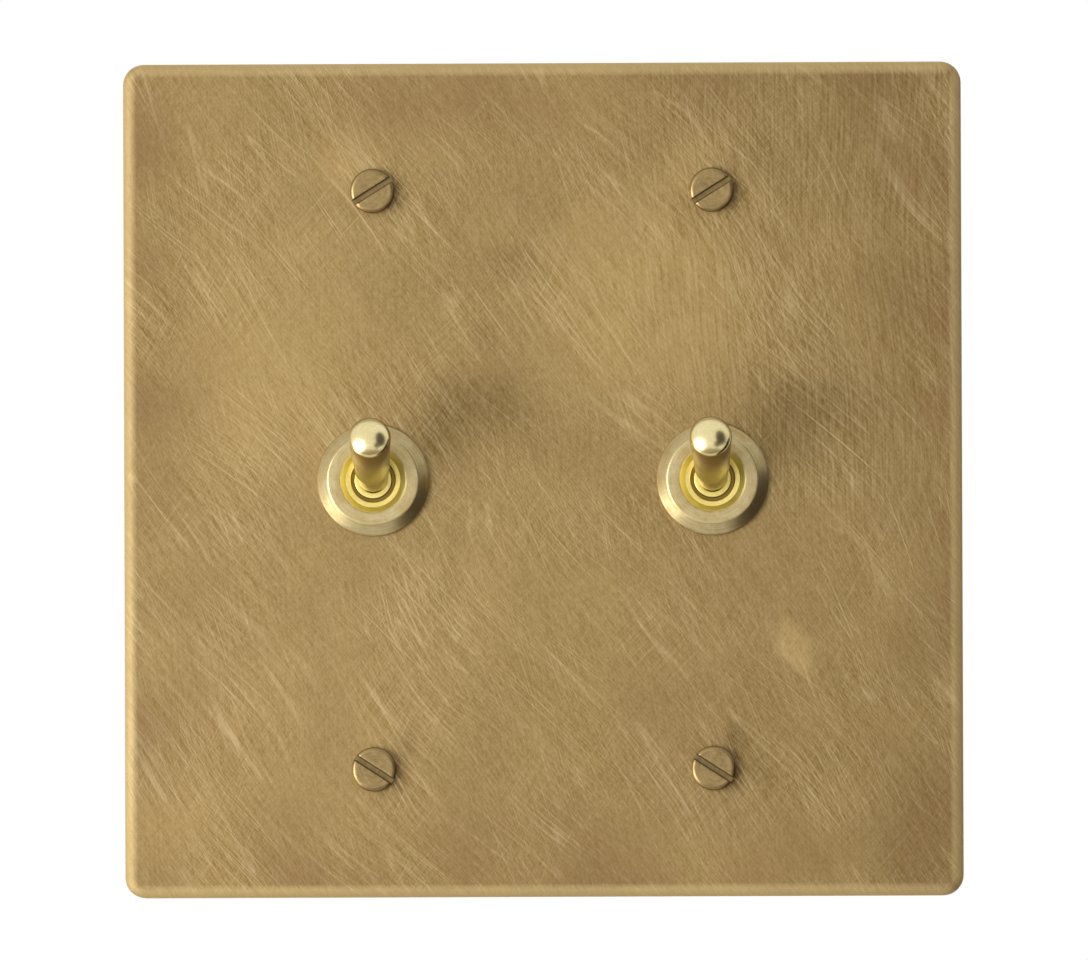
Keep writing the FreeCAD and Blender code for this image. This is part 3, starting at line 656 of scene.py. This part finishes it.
def sheet_metal(name, light, polish, cloud_size, grain, edge):
    """Stamped, drawn or plated metal: grain along Z, soft clouds in the finish and edges just eased."""
    material, tree, shader = new_material(name, Metallic=1.0)
    stretch, deep_share, spread, dulling = 25, 0.62, (0.7, 1.3), 0.14
    place = add(tree, "TexCoord").outputs["Object"]
    cloud = add(tree, "TexNoise", {"Vector": place, "Scale": 1 / cloud_size, "Detail": 4.0})
    drawn = add(tree, "Mapping", {
        "Vector": place, "Scale": (grain, grain, grain * stretch)}, vector_type="TEXTURE")
    lines = add(tree, "TexNoise", {"Vector": drawn, "Scale": 1.0, "Detail": 2.0})
    tone = add(tree, "Math ADD", (cloud, lines))
    tone = add(tree, "MapRange", (tone, *spread))
    base = add(tree, "Mix", {0: tone, 6: tuple(light), 7: deeper(light, deep_share)}, data_type="RGBA")
    rough = add(tree, "MapRange", (tone, 0.0, 1.0, polish, polish + dulling))
    soft = add(tree, "Bevel", {"Radius": edge}, samples=4)
    bump = add(tree, "Bump", {"Height": lines, "Strength": 0.15, "Distance": 0.01 * MM, "Normal": soft})
    join(tree, shader, {"Base Color": base, "Roughness": rough, "Normal": bump})
    return material


def moulding(name, light, polish, sheen, cloud_size, edge):
    """Moulded plastic: a closed skin with faint flow marks, duller where they are darker, and eased edges."""
    material, tree, shader = new_material(name, Coat_Weight=sheen, Coat_Roughness=0.25)
    skin_grain, deep_share, spread, dulling = 0.25 * MM, 0.7, (0.3, 0.7), 0.15
    place = add(tree, "TexCoord").outputs["Object"]
    flow = add(tree, "TexNoise", {"Vector": place, "Scale": 1 / cloud_size, "Detail": 4.0, "Distortion": 1.2})
    tone = add(tree, "MapRange", (flow, *spread))
    base = add(tree, "Mix", {0: tone, 6: tuple(light), 7: deeper(light, deep_share)}, data_type="RGBA")
    rough = add(tree, "MapRange", (tone, 0.0, 1.0, polish, polish + dulling))
    skin = add(tree, "TexNoise", {"Vector": place, "Scale": 1 / skin_grain, "Detail": 2.0})
    soft = add(tree, "Bevel", {"Radius": edge}, samples=4)
    bump = add(tree, "Bump", {"Height": skin, "Strength": 0.12, "Distance": 0.02 * MM, "Normal": soft})
    join(tree, shader, {"Base Color": base, "Roughness": rough, "Normal": bump})
    return material


def finish_nodes(material, *pieces):
    """Put a material on CAD nodes through their objects' own slots; pieces are named without their side."""
    for node, piece in frame["nodes"].items():
        side, _, rest = node.partition("_")
        if (rest if side in SIDES else node) not in pieces:
            continue
        for holder in piece.material_slots:
            holder.link = "OBJECT"
            holder.material = material


def cell_border(low, high, rounds, side_steps=10, arc_steps=8):
    """Border of a rectangle, anticlockwise from its lower right, each corner an arc of its own radius.

    Also gives how many points there are from one corner to the next, and how many steps in an arc.
    """
    x = np.array([high[0], high[0], low[0], low[0]])
    z = np.array([low[1], high[1], high[1], low[1]])
    rounds = np.array(rounds, float)
    middle_x = x + rounds * np.array([-1, -1, 1, 1])
    middle_z = z + rounds * np.array([1, -1, -1, 1])
    first = np.radians([-90, 0, 90, 180])[:, None]
    angle = first + np.linspace(0, QUARTER_TURN, arc_steps + 1)
    arcs = np.stack((middle_x[:, None] + rounds[:, None] * np.cos(angle),
                     middle_z[:, None] + rounds[:, None] * np.sin(angle)), axis=-1)
    step = np.linspace(0, 1, side_steps + 1)[1:-1][None, :, None]
    sides = arcs[:, -1:] * (1 - step) + np.roll(arcs[:, :1], -1, axis=0) * step
    return np.concatenate((arcs, sides), axis=1).reshape(-1, 2), side_steps + arc_steps, arc_steps


def lift(flat, depth):
    """Points (x, depth, z) from points (x, z) on a flat sheet."""
    return np.stack((flat[..., 0], np.broadcast_to(depth, flat.shape[:-1]), flat[..., 1]), axis=-1)


def plate_sheets(plate):
    """Sheets of the plate: six cells, each a ruled face from its hole to its border, and the edge round them.

    The edge is a profile carried along the outline: flat, then a quarter of an ellipse that is edge_round
    wide and edge_drop deep, then straight to the back.
    """
    front, back = plate_low.y, plate_high.y
    flat, edge_rows = 0.5 * MM, 9
    plain = (np.zeros(3), 0.0)
    turn = np.linspace(0, QUARTER_TURN, edge_rows)
    inset = np.concatenate(([plate.edge_round + flat], plate.edge_round * (1 - np.sin(turn)), [0.0]))
    level = np.concatenate(([front], front + plate.edge_drop * (1 - np.cos(turn)), [back]))
    gang_x = pivots["right"][0]
    fixing_z = fixing_dims["spacing_y_mm"] / 2 * MM
    split = plate.row_split
    rows = ((-1, -fixing_z, plate.screw_hole), (0, 0.0, plate.bush_hole), (1, fixing_z, plate.screw_hole))
    # A cell's sides count anticlockwise from its right: the first on the outline, and how many are on it.
    outline_sides = {
        (1, -1): (3, 2), (1, 0): (0, 1), (1, 1): (0, 2), (-1, 1): (1, 2), (-1, 0): (2, 1), (-1, -1): (2, 2)}
    corner_of = {(1, -1): 0, (1, 1): 1, (-1, 1): 2, (-1, -1): 3}
    sheets = []
    for column in (-1, 1):
        for row, hole_z, hole_radius in rows:
            borders = []
            for gap in inset:
                wide = plate_high.x - gap
                tall = plate_high.z - gap
                low = (0.0 if column > 0 else -wide, {-1: -tall, 0: -split, 1: split}[row])
                high = (wide if column > 0 else 0.0, {-1: -split, 0: split, 1: tall}[row])
                rounds = np.zeros(4)
                if (column, row) in corner_of:
                    rounds[corner_of[column, row]] = plate.corner_radius - gap
                border, stride, arc = cell_border(low, high, rounds)
                borders.append(border)
            borders = np.array(borders)
            middle = np.array((column * gang_x, hole_z))
            out = borders[0] - middle
            hole = middle + out / np.linalg.norm(out, axis=1)[:, None] * hole_radius
            sheets.append((lift(np.stack((hole, borders[0])), front), *plain, True))
            sheets.append((lift(np.stack((hole, borders[-1])), back), *plain, True))
            sheets.append((np.stack((lift(hole, front), lift(hole, back))), *plain, True))
            start, count = outline_sides[column, row]
            around = np.arange(start * stride + arc, (start + count) * stride + 1) % borders.shape[1]
            sheets.append((lift(borders[:, around], level[:, None]), *plain, False))
    return sheets


class DOLLYSWITCH_OT_plate(bpy.types.Operator):
    """Make the front plate with its eased edge, holes and aged face"""
    bl_idname = "dolly_switch.plate"
    bl_label = "Front plate"

    def execute(self, context):
        plate = context.scene.switch_plate
        material = aged_satin_brass(plate)
        place_piece("plate", plate_sheets(plate), material, "switch_body", "front_plate")
        return {"FINISHED"}


class DOLLYSWITCH_OT_plate_screws(bpy.types.Operator):
    """Make the four slotted screws that hold the plate"""
    bl_idname = "dolly_switch.plate_screws"
    bl_label = "Plate screws"

    def execute(self, context):
        screw = context.scene.switch_screws
        half_x = fixing_dims["spacing_x_mm"] / 2 * MM
        half_z = fixing_dims["spacing_y_mm"] / 2 * MM
        head = (screw.head_radius, screw.head_height, screw.head_round)
        neck = (screw.neck_radius, -plate_low.y)
        slot = (screw.slot_width, screw.slot_depth)
        total = screws_high.y - plate_low.y
        sheets = []
        for row, turn in ((1, screw.upper_turn), (-1, screw.lower_turn)):
            for column in (-1, 1):
                seat = (column * half_x, plate_low.y, row * half_z)
                sheets += slotted_screw(
                    seat, OUTWARD, (math.cos(turn), 0, math.sin(turn)), head, fixing_dims["stud_r_mm"] * MM,
                    neck, total, screw.pitch, slot)
        material = turned_brass(
            "dulled_screw_brass", screw.brass, screw.dull, screw.grime_and_shade,
            polish=0.34, mark_width=0.35 * MM, mark_depth=0.004 * MM, cloud_size=1.6 * MM)
        place_piece("screws", sheets, material, "switch_body", "plate_screws")
        return {"FINISHED"}


class DOLLYSWITCH_OT_dress_rings(bpy.types.Operator):
    """Make the bevelled rings round the dollies"""
    bl_idname = "dolly_switch.dress_rings"
    bl_label = "Dress rings"

    def execute(self, context):
        ring = context.scene.switch_rings
        foot, top = -ring_high.y, -ring_low.y
        outer = (ring_high.x - ring_low.x) / 2
        bush_front = -bush_low.y
        # The profile is (radius, distance out from the wall), turned round the gang's middle.
        corners = [
            (ring.thread, foot), (outer, foot), (outer, foot + ring.foot), (ring.face_radius, top),
            (ring.mouth_radius, top), (ring.mouth_radius - ring.mouth_taper, bush_front),
            (ring.thread, bush_front)]
        rounds = [0, 0.05 * MM, 0.12 * MM, ring.edge_break, 0.22 * MM, 0.1 * MM, 0]
        profile = eased(corners, rounds, steps=5)
        profile = np.concatenate((profile, profile[:1]))
        # in_mouth spreads the painted reflection: the mouth's walls take the yellower mouth brass.
        mouth_fade = 0.2 * MM
        in_mouth = np.clip((ring.mouth_radius - profile[:, 0]) / mouth_fade, 0, 1)
        material = turned_brass(
            "satin_turned_brass", ring.satin, ring.warm, ring.mouth,
            polish=0.34, mark_width=0.3 * MM, mark_depth=0.003 * MM, cloud_size=1.5 * MM)
        for side in SIDES:
            centre = (pivots[side][0], 0.0, 0.0)
            sheet = turned(profile[:, 0], profile[:, 1], centre, OUTWARD, sides=128, tint=in_mouth)
            place_piece(side + "_ring", [sheet], material, "switch_body", side + "_dress_ring")
        return {"FINISHED"}


class DOLLYSWITCH_OT_bushes(bpy.types.Operator):
    """Make the threaded bushes that carry the dollies"""
    bl_idname = "dolly_switch.bushes"
    bl_label = "Bushes"

    def execute(self, context):
        bush = context.scene.switch_bushes
        front, back = -bush_low.y, -bush_high.y
        bracket = back + bush.bracket
        shoulder_front = bracket + bush.shoulder
        shoulder_radius = (bush_high.x - bush_low.x) / 2
        sides, rows_per_pitch = 96, 8
        end_break, slack, clean_depth, past_wall = 0.1 * MM, 0.05 * MM, 0.3 * MM, bush.radius * 1.2
        angle = np.linspace(0, FULL_TURN, sides, endpoint=False)
        rows = int((front - shoulder_front) / bush.pitch * rows_per_pitch)
        threaded = np.linspace(front - end_break, shoulder_front, rows)
        thread_radius = thread(threaded, angle, bush.radius, bush.pitch, 0.5 * bush.pitch)
        material = turned_brass(
            "bright_turned_brass", bush.brass, bush.warm, bush.tarnish,
            polish=0.30, mark_width=0.25 * MM, mark_depth=0.004 * MM, cloud_size=3.0 * MM)
        # The profile: a V thread back to the shoulder, the outside behind it, then the inside to the face.
        behind = np.array([
            (shoulder_radius, shoulder_front), (shoulder_radius, bracket), (bush.spigot, bracket),
            (bush.spigot, back), (bush.flare, back)])
        nose_front = front - bush.nose_setback
        groove_floor = nose_front - bush.groove_depth
        groove_outer = bush.nose + bush.groove_width
        rounds = np.array([0, 0, 0.06, 0.1, 0.1, 0.1, 0.12, 0]) * MM
        for side in SIDES:
            seat_end = -pivots[side][1] - bush.seat_behind
            inside = eased([
                (bush.seat + bush.flare_step, seat_end - bush.flare_step), (bush.seat, seat_end),
                (bush.seat, nose_front), (bush.nose, nose_front), (bush.nose, groove_floor),
                (groove_outer, groove_floor), (groove_outer, front), (bush.radius - end_break, front),
            ], rounds)
            plain = np.concatenate((behind, inside))
            flat = np.repeat(plain[:, :1], sides, axis=1)
            radius = np.concatenate((thread_radius, flat, thread_radius[:1]))
            along = np.concatenate((threaded, plain[:, 1], threaded[:1]))
            in_groove = (radius[:, 0] > bush.nose - slack) & (radius[:, 0] < groove_outer + slack)
            in_groove &= along < nose_front - clean_depth
            sheet = turned(radius, along, (pivots[side][0], 0.0, 0.0), OUTWARD, sides, in_groove)
            place_piece(
                side + "_threaded_bush", [sheet], material, "switch_body", side + "_bush",
                (bush.pin, pivots[side], past_wall))
        return {"FINISHED"}


class DOLLYSWITCH_OT_dollies(bpy.types.Operator):
    """Make the dollies: bored tail, ball, neck and a grip that swells into a domed head"""
    bl_idname = "dolly_switch.dollies"
    bl_label = "Dollies"

    def execute(self, context):
        dolly = context.scene.switch_dollies
        # The profile is (radius, distance from the pivot): eased lines for the tail and the neck, and for the
        # ball, the head's edge and the dome arcs of middle + radius * cos and level + radius * sin.
        tail_end = -dolly.tail_length
        bore_end = tail_end + dolly.bore_depth
        ball_end = math.acos(dolly.throat / dolly.ball)
        ball_rows, edge_rows, cap_rows = 28, 10, 24
        ball = np.linspace(-ball_end, ball_end, ball_rows)
        tail = eased([
            (0.0, bore_end), (dolly.bore, bore_end), (dolly.bore, tail_end),
            (dolly.tail - dolly.tail_chamfer, tail_end), (dolly.tail, tail_end + dolly.tail_chamfer),
            (dolly.tail, -dolly.tail_start - dolly.tail_chamfer), (dolly.throat, -dolly.tail_start),
        ], np.array([0, 0, 0.05, 0.05, 0.05, 0.05, 0]) * MM)
        step = dolly.grip_start - dolly.edge_break
        fade, clear, rim_tint, past_ball = 5 * MM, 1 * MM, 0.75, dolly.ball * 1.5
        taper = (dolly.head - dolly.grip) / (dolly.head_distance - dolly.grip_start)
        neck = eased([
            (dolly.throat, dolly.neck_start), (dolly.neck, dolly.neck_start), (dolly.neck, step),
            (dolly.grip - dolly.edge_break, step), (dolly.grip, dolly.grip_start),
            (dolly.head - taper * fade, dolly.head_distance - fade), (dolly.head, dolly.head_distance),
        ], np.array([0, 0.08, 0.05, 0.08, 0.08, 0, 0]) * MM)
        rim = dolly.head - dolly.head_round
        dome_drop = math.sqrt((dolly.dome - dolly.head_round) ** 2 - rim ** 2)
        meeting = math.atan2(dome_drop, rim)
        edge = np.linspace(0, meeting, edge_rows)[1:]
        cap = np.linspace(meeting, QUARTER_TURN, cap_rows)[1:]
        arcs = [
            np.stack((middle + radius * np.cos(turn), level + radius * np.sin(turn)), axis=1)
            for middle, level, radius, turn in (
                (0.0, 0.0, dolly.ball, ball), (rim, dolly.head_distance, dolly.head_round, edge),
                (0.0, dolly.head_distance - dome_drop, dolly.dome, cap))]
        profile = np.concatenate((tail, arcs[0], neck, arcs[1], arcs[2]))
        profile[-1, 0] = 0.0
        material = turned_brass(
            "polished_brass", dolly.brass, dolly.warm, dolly.shank,
            polish=0.20, mark_width=0.3 * MM, mark_depth=0.0005 * MM, cloud_size=2.5 * MM)
        radius, along = profile.T
        # Painted reflection: the grip takes the yellower shank brass of the bush and ring mirrored in it, fading
        # out below the head, and the head's rim takes three quarters of it for the dark band mirrored round its
        # edge.
        down_grip = np.clip((dolly.head_distance - clear - along) / fade, 0, 1) * (along > step)
        on_rim = np.clip(1 - np.abs(along - dolly.head_distance) / clear, 0, 1)
        wear_and_reflection = np.maximum(down_grip, rim_tint * on_rim)
        for side in SIDES:
            sheet = turned(radius, along, pivots[side], dolly_axes[side], tint=wear_and_reflection)
            place_piece(
                side + "_lever", [sheet], material, side + "_dolly", side + "_dolly",
                (dolly.pin_bore, pivots[side], past_ball))
        return {"FINISHED"}


def coil_sheet(start, end, radius, wire, turns, centre, axis):
    """A coil of round wire from start to end along an axis, with closed ends.

    Point = centre + (height(a) + w * sin b) * axis + (radius + w * cos b) * (cos a * X + sin a * (axis x X)),
    where a runs round the coil, b round the wire, height goes evenly from start to end, and w is the wire's
    radius, or 0 at both tips.
    """
    steps_per_turn, wire_sides = 32, 14
    rows = int(turns * steps_per_turn) + 1
    a = np.linspace(0, turns * FULL_TURN, rows)
    a = np.concatenate((a[:1], a, a[-1:]))[:, None]
    b = np.linspace(0, FULL_TURN, wire_sides, endpoint=False)[None]
    w = np.concatenate(([0.0], np.full(rows, wire), [0.0]))[:, None]
    height = start + (end - start) * a / a.max() + w * np.sin(b)
    reach = radius + w * np.cos(b)
    axis = np.array(axis, float)
    spokes = np.cos(a) * np.array((1.0, 0.0, 0.0)) + np.sin(a) * np.cross(axis, (1.0, 0.0, 0.0))
    grid = np.array(centre) + height[..., None] * axis + reach[..., None] * spokes[:, None]
    return grid, np.zeros(3), 0.0, True


class DOLLYSWITCH_OT_springs(bpy.types.Operator):
    """Make the springs in the dollies' tails"""
    bl_idname = "dolly_switch.springs"
    bl_label = "Springs"

    def execute(self, context):
        spring = context.scene.switch_springs
        dolly = context.scene.switch_dollies
        material = sheet_metal(
            "drawn_spring_steel", spring.steel, polish=0.3, cloud_size=2 * MM, grain=0.1 * MM, edge=0.02 * MM)
        bore_end = dolly.bore_depth - dolly.tail_length
        plunger_end = spring.guide - dolly.tail_length
        margin = spring.wire + spring.seat
        for side in SIDES:
            axis = dolly_axes[side]
            sheet = coil_sheet(
                plunger_end + margin, bore_end - margin, spring.coil, spring.wire, spring.turns,
                pivots[side], axis)
            piece = place_piece(
                side + "_coil", [sheet], material, side + "_dolly", side + "_plunger_spring")
            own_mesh(piece)
        return {"FINISHED"}


class DOLLYSWITCH_OT_terminal_screws(bpy.types.Operator):
    """Make the binding screws of the terminals and the earth tag"""
    bl_idname = "dolly_switch.terminal_screws"
    bl_label = "Terminal screws"

    def execute(self, context):
        screw = context.scene.switch_screws
        finishes = context.scene.switch_finishes
        material = turned_brass(
            "terminal_screw_brass", finishes.stamped, screw.brass, screw.dull,
            polish=0.30, mark_width=0.3 * MM, mark_depth=0.006 * MM, cloud_size=2.0 * MM)
        common = (
            (screw.terminal_head_radius, screw.terminal_head_height, screw.terminal_head_round),
            screw.terminal_thread, (screw.terminal_thread, 0.0), screw.terminal_length, screw.terminal_pitch,
            (screw.terminal_slot, screw.terminal_slot))
        for side in SIDES:
            low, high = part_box(side + "_terminal_screws")
            seat_x = high.x - screw.terminal_head_height
            middle_y = (low.y + high.y) / 2
            sheets = []
            for z in (low.z + screw.terminal_head_radius, 0.0, high.z - screw.terminal_head_radius):
                sheets += slotted_screw((seat_x, middle_y, z), (1, 0, 0), (0, 1, 0), *common)
            place_piece(
                side + "_binding_screws", sheets, material, "switch_body",
                side + "_terminal_screws")
        low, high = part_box("earth_screw")
        seat = ((low.x + high.x) / 2, (low.y + high.y) / 2, low.z + screw.terminal_head_height)
        sheets = slotted_screw(seat, (0, 0, -1), (1, 0, 0), *common)
        place_piece("earth_binding_screw", sheets, material, "switch_body", "earth_screw")
        return {"FINISHED"}


class DOLLYSWITCH_OT_switch_works(bpy.types.Operator):
    """Give the pieces behind the plate their finishes"""
    bl_idname = "dolly_switch.switch_works"
    bl_label = "Switch works"

    def execute(self, context):
        finishes = context.scene.switch_finishes
        brass = context.scene.switch_bushes.brass
        terminals = ("earth_tag", "common_terminal", "upper_terminal", "lower_terminal", "rocker")
        plated = ("bracket", "lock_washer", "pivot_pin")
        for name, light, polish, cloud, grain, edge, pieces in (
                ("nut_brass", brass, 0.32, 3, 0.15, 0.15, ("back_nut",)),
                ("stamped_brass", finishes.stamped, 0.30, 4, 0.2, 0.12, terminals),
                ("zinc_plated_steel", finishes.zinc, 0.32, 3, 0.2, 0.12, plated),
                ("silver_alloy", finishes.silver, 0.25, 1, 0.1, 0.05, ("fixed_contacts", "moving_contacts"))):
            finish_nodes(sheet_metal(name, light, polish, cloud * MM, grain * MM, edge * MM), *pieces)
        for name, light, polish, sheen, cloud, edge, piece in (
                ("black_phenolic", finishes.phenolic, 0.34, 0.3, 5, 0.25, "case"),
                ("white_nylon", finishes.nylon, 0.4, 0.0, 2, 0.05, "plunger")):
            finish_nodes(moulding(name, light, polish, sheen, cloud * MM, edge * MM), piece)
        return {"FINISHED"}


class DOLLYSWITCH_OT_stage(bpy.types.Operator):
    """Set the camera, the floor and the light"""
    bl_idname = "dolly_switch.stage"
    bl_label = "Stage"

    def execute(self, context):
        scene = context.scene
        stage = scene.switch_stage
        scene.view_settings.view_transform = "Standard"
        self.set_camera(scene, stage)
        self.set_floor(scene, stage)
        self.set_light(scene, stage)
        return {"FINISHED"}

    def set_camera(self, scene, stage):
        """A long lens a little right of square and below it, as in the photograph."""
        lens = bpy.data.cameras.new("camera")
        lens.sensor_width = 36.0
        lens.lens = lens.sensor_width * stage.view_distance / stage.view_width
        lens.clip_end = 20.0
        camera = bpy.data.objects.new("camera", lens)
        scene.collection.objects.link(camera)
        aim = Vector((stage.view_aim_x, plate_low.y, stage.view_aim_z))
        level = math.cos(stage.view_below)
        back = Vector((math.sin(stage.view_right) * level, -math.cos(stage.view_right) * level,
                       -math.sin(stage.view_below)))
        turn = (-back).to_track_quat("-Z", "Y").to_matrix() @ Matrix.Rotation(-stage.view_roll, 3, "Z")
        camera.matrix_world = Matrix.Translation(aim + back * stage.view_distance) @ turn.to_4x4()
        scene.camera = camera

    def set_floor(self, scene, stage):
        """A wide pale floor well below the plate, and felt cards that only the brass mirrors."""
        material, tree, shader = new_material("pale_floor_paint", Roughness=0.9)
        speck_size, darkest, palest, floor_half = 4 * MM, 0.97, 1.03, 9.0
        place = add(tree, "TexCoord").outputs["Object"]
        speck = add(tree, "TexNoise", {"Vector": place, "Scale": 1 / speck_size, "Detail": 2.0})
        tone = add(tree, "MapRange", (speck, 0.0, 1.0, darkest, palest))
        base = add(tree, "VectorMath SCALE", {0: tuple(stage.floor[:3]), "Scale": tone})
        join(tree, shader, {"Base Color": base})
        path = add(tree, "LightPath").outputs
        mirrored = add(tree, "Math MAXIMUM", (path["Is Glossy Ray"], path["Is Transmission Ray"]))
        skin = add(tree, "MixShader", (mirrored, shader, add(tree, "Emission")))
        join(tree, tree.nodes["Material Output"], {"Surface": skin})
        middle = (0, 0, -stage.floor_drop)
        self.add_card(scene, "floor", material, middle, (floor_half, 0, 0), (0, floor_half, 0), corners=4)
        # Bearings and rises are in degrees from straight in front; a hole is a share of its card.
        for name, code, bearing, rise, distance, half_width, half_height, hole in (
                ("front_card", "#463F38", 40, 16, 0.9, 0.30, 0.42, 0.0),
                ("side_card", "#251F19", 78, -26, 0.45, 0.20, 0.38, 0.0),
                ("low_card", "#6A6056", 25, -6, 0.9, 0.17, 0.17, 0.0),
                ("table_card", "#AEA28C", 5, -38, 0.6, 0.50, 0.18, 0.0),
                ("surround", "#8C8276", 180, 0, 0.004, 1.2, 1.2, 0.085)):
            felt = new_material(name + "_felt", Base_Color=linear(code), Roughness=1.0)[0]
            turn = Matrix.Rotation(math.radians(bearing), 3, "Z")
            turn = turn @ Matrix.Rotation(math.radians(-rise), 3, "X")
            card = self.add_card(
                scene, name, felt, turn @ Vector((0, -distance, 0)), turn @ Vector((half_width, 0, 0)),
                turn @ Vector((0, 0, half_height)), corners=40, hole=hole)
            card.visible_camera = False
            card.visible_diffuse = False
            card.visible_shadow = False

    def add_card(self, scene, name, material, centre, across, up, corners, hole=0.0):
        """A flat card: centre + share * (cos t * across + sin t * up), with share from the hole to 1."""
        turn = np.radians(45) + np.arange(corners) * FULL_TURN / corners
        rim = np.cos(turn)[:, None] * np.array(across) + np.sin(turn)[:, None] * np.array(up)
        grid = np.array(centre) + np.array([hole, 1.0])[:, None, None] * rim
        mesh = sheets_to_mesh(name, [(grid, np.zeros(3), 0.0, True)])
        mesh.materials.append(material)
        card = bpy.data.objects.new(name, mesh)
        scene.collection.objects.link(card)
        return card

    def set_light(self, scene, stage):
        """White surroundings, a soft key at the left and a small low light near the wall, lower down."""
        world = bpy.data.worlds.new("white_room")
        scene.world = world
        world.use_nodes = True
        tree = world.node_tree
        path = add(tree, "LightPath").outputs
        seen = add(tree, "Math MAXIMUM", (path["Is Camera Ray"], path["Is Glossy Ray"]))
        seen = add(tree, "Math MAXIMUM", (seen, path["Is Transmission Ray"]))
        level = add(tree, "MapRange", (seen, 0.0, 1.0, stage.fill, 1.0))
        join(tree, tree.nodes["Background"], {"Color": (1.0, 1.0, 1.0, 1.0), "Strength": level})
        for name, watts, place, size in (
                ("key", stage.key_power, (-0.78, -0.89, -0.145), (0.85, 0.75)),
                ("rake", stage.rake_power, (-0.42, -0.12, -0.275), (0.30, 0.30))):
            self.add_lamp(scene, name, watts, place, size)

    def add_lamp(self, scene, name, watts, place, size):
        """A round soft light that faces the plate's middle and isn't itself seen."""
        light = bpy.data.lights.new(name, "AREA")
        light.shape = "ELLIPSE"
        light.size, light.size_y = size
        light.energy = watts
        lamp = bpy.data.objects.new(name, light)
        scene.collection.objects.link(lamp)
        lamp.location = place
        lamp.rotation_mode = "QUATERNION"
        lamp.rotation_quaternion = (-Vector(place)).to_track_quat("-Z", "Y")
        lamp.visible_camera = False


MAKERS = (
    DOLLYSWITCH_OT_stage, DOLLYSWITCH_OT_plate, DOLLYSWITCH_OT_plate_screws, DOLLYSWITCH_OT_dress_rings,
    DOLLYSWITCH_OT_bushes, DOLLYSWITCH_OT_dollies, DOLLYSWITCH_OT_springs, DOLLYSWITCH_OT_terminal_screws,
    DOLLYSWITCH_OT_switch_works,
)
SETTINGS = {
    "switch_plate": PlateSettings, "switch_screws": ScrewSettings, "switch_rings": RingSettings,
    "switch_bushes": BushSettings, "switch_dollies": DollySettings, "switch_springs": SpringSettings,
    "switch_finishes": FinishSettings, "switch_stage": StageSettings,
}


class DOLLYSWITCH_PT_makers(bpy.types.Panel):
    """List of the makers of the switch's pieces"""
    bl_idname = "DOLLYSWITCH_PT_makers"
    bl_label = "Dolly Switch"
    bl_space_type = "VIEW_3D"
    bl_region_type = "UI"
    bl_category = "Dolly Switch"

    def draw(self, context):
        for maker in MAKERS:
            self.layout.operator(maker.bl_idname)
        for name in SETTINGS:
            settings = getattr(context.scene, name)
            column = self.layout.column()
            for key in settings.__annotations__:
                column.prop(settings, key)


def register():
    """Register the settings, the makers and the panel."""
    for name, group in SETTINGS.items():
        bpy.utils.register_class(group)
        setattr(bpy.types.Scene, name, bpy.props.PointerProperty(type=group))
    for maker in MAKERS:
        bpy.utils.register_class(maker)
    bpy.utils.register_class(DOLLYSWITCH_PT_makers)


def unregister():
    """Take back what register added."""
    bpy.utils.unregister_class(DOLLYSWITCH_PT_makers)
    for maker in reversed(MAKERS):
        bpy.utils.unregister_class(maker)
    for name, group in SETTINGS.items():
        delattr(bpy.types.Scene, name)
        bpy.utils.unregister_class(group)


def main():
    """Make the stage and every piece."""
    register()
    for maker in MAKERS:
        group, name = maker.bl_idname.split(".")
        getattr(getattr(bpy.ops, group), name)()


if __name__ == "__main__":
    main()
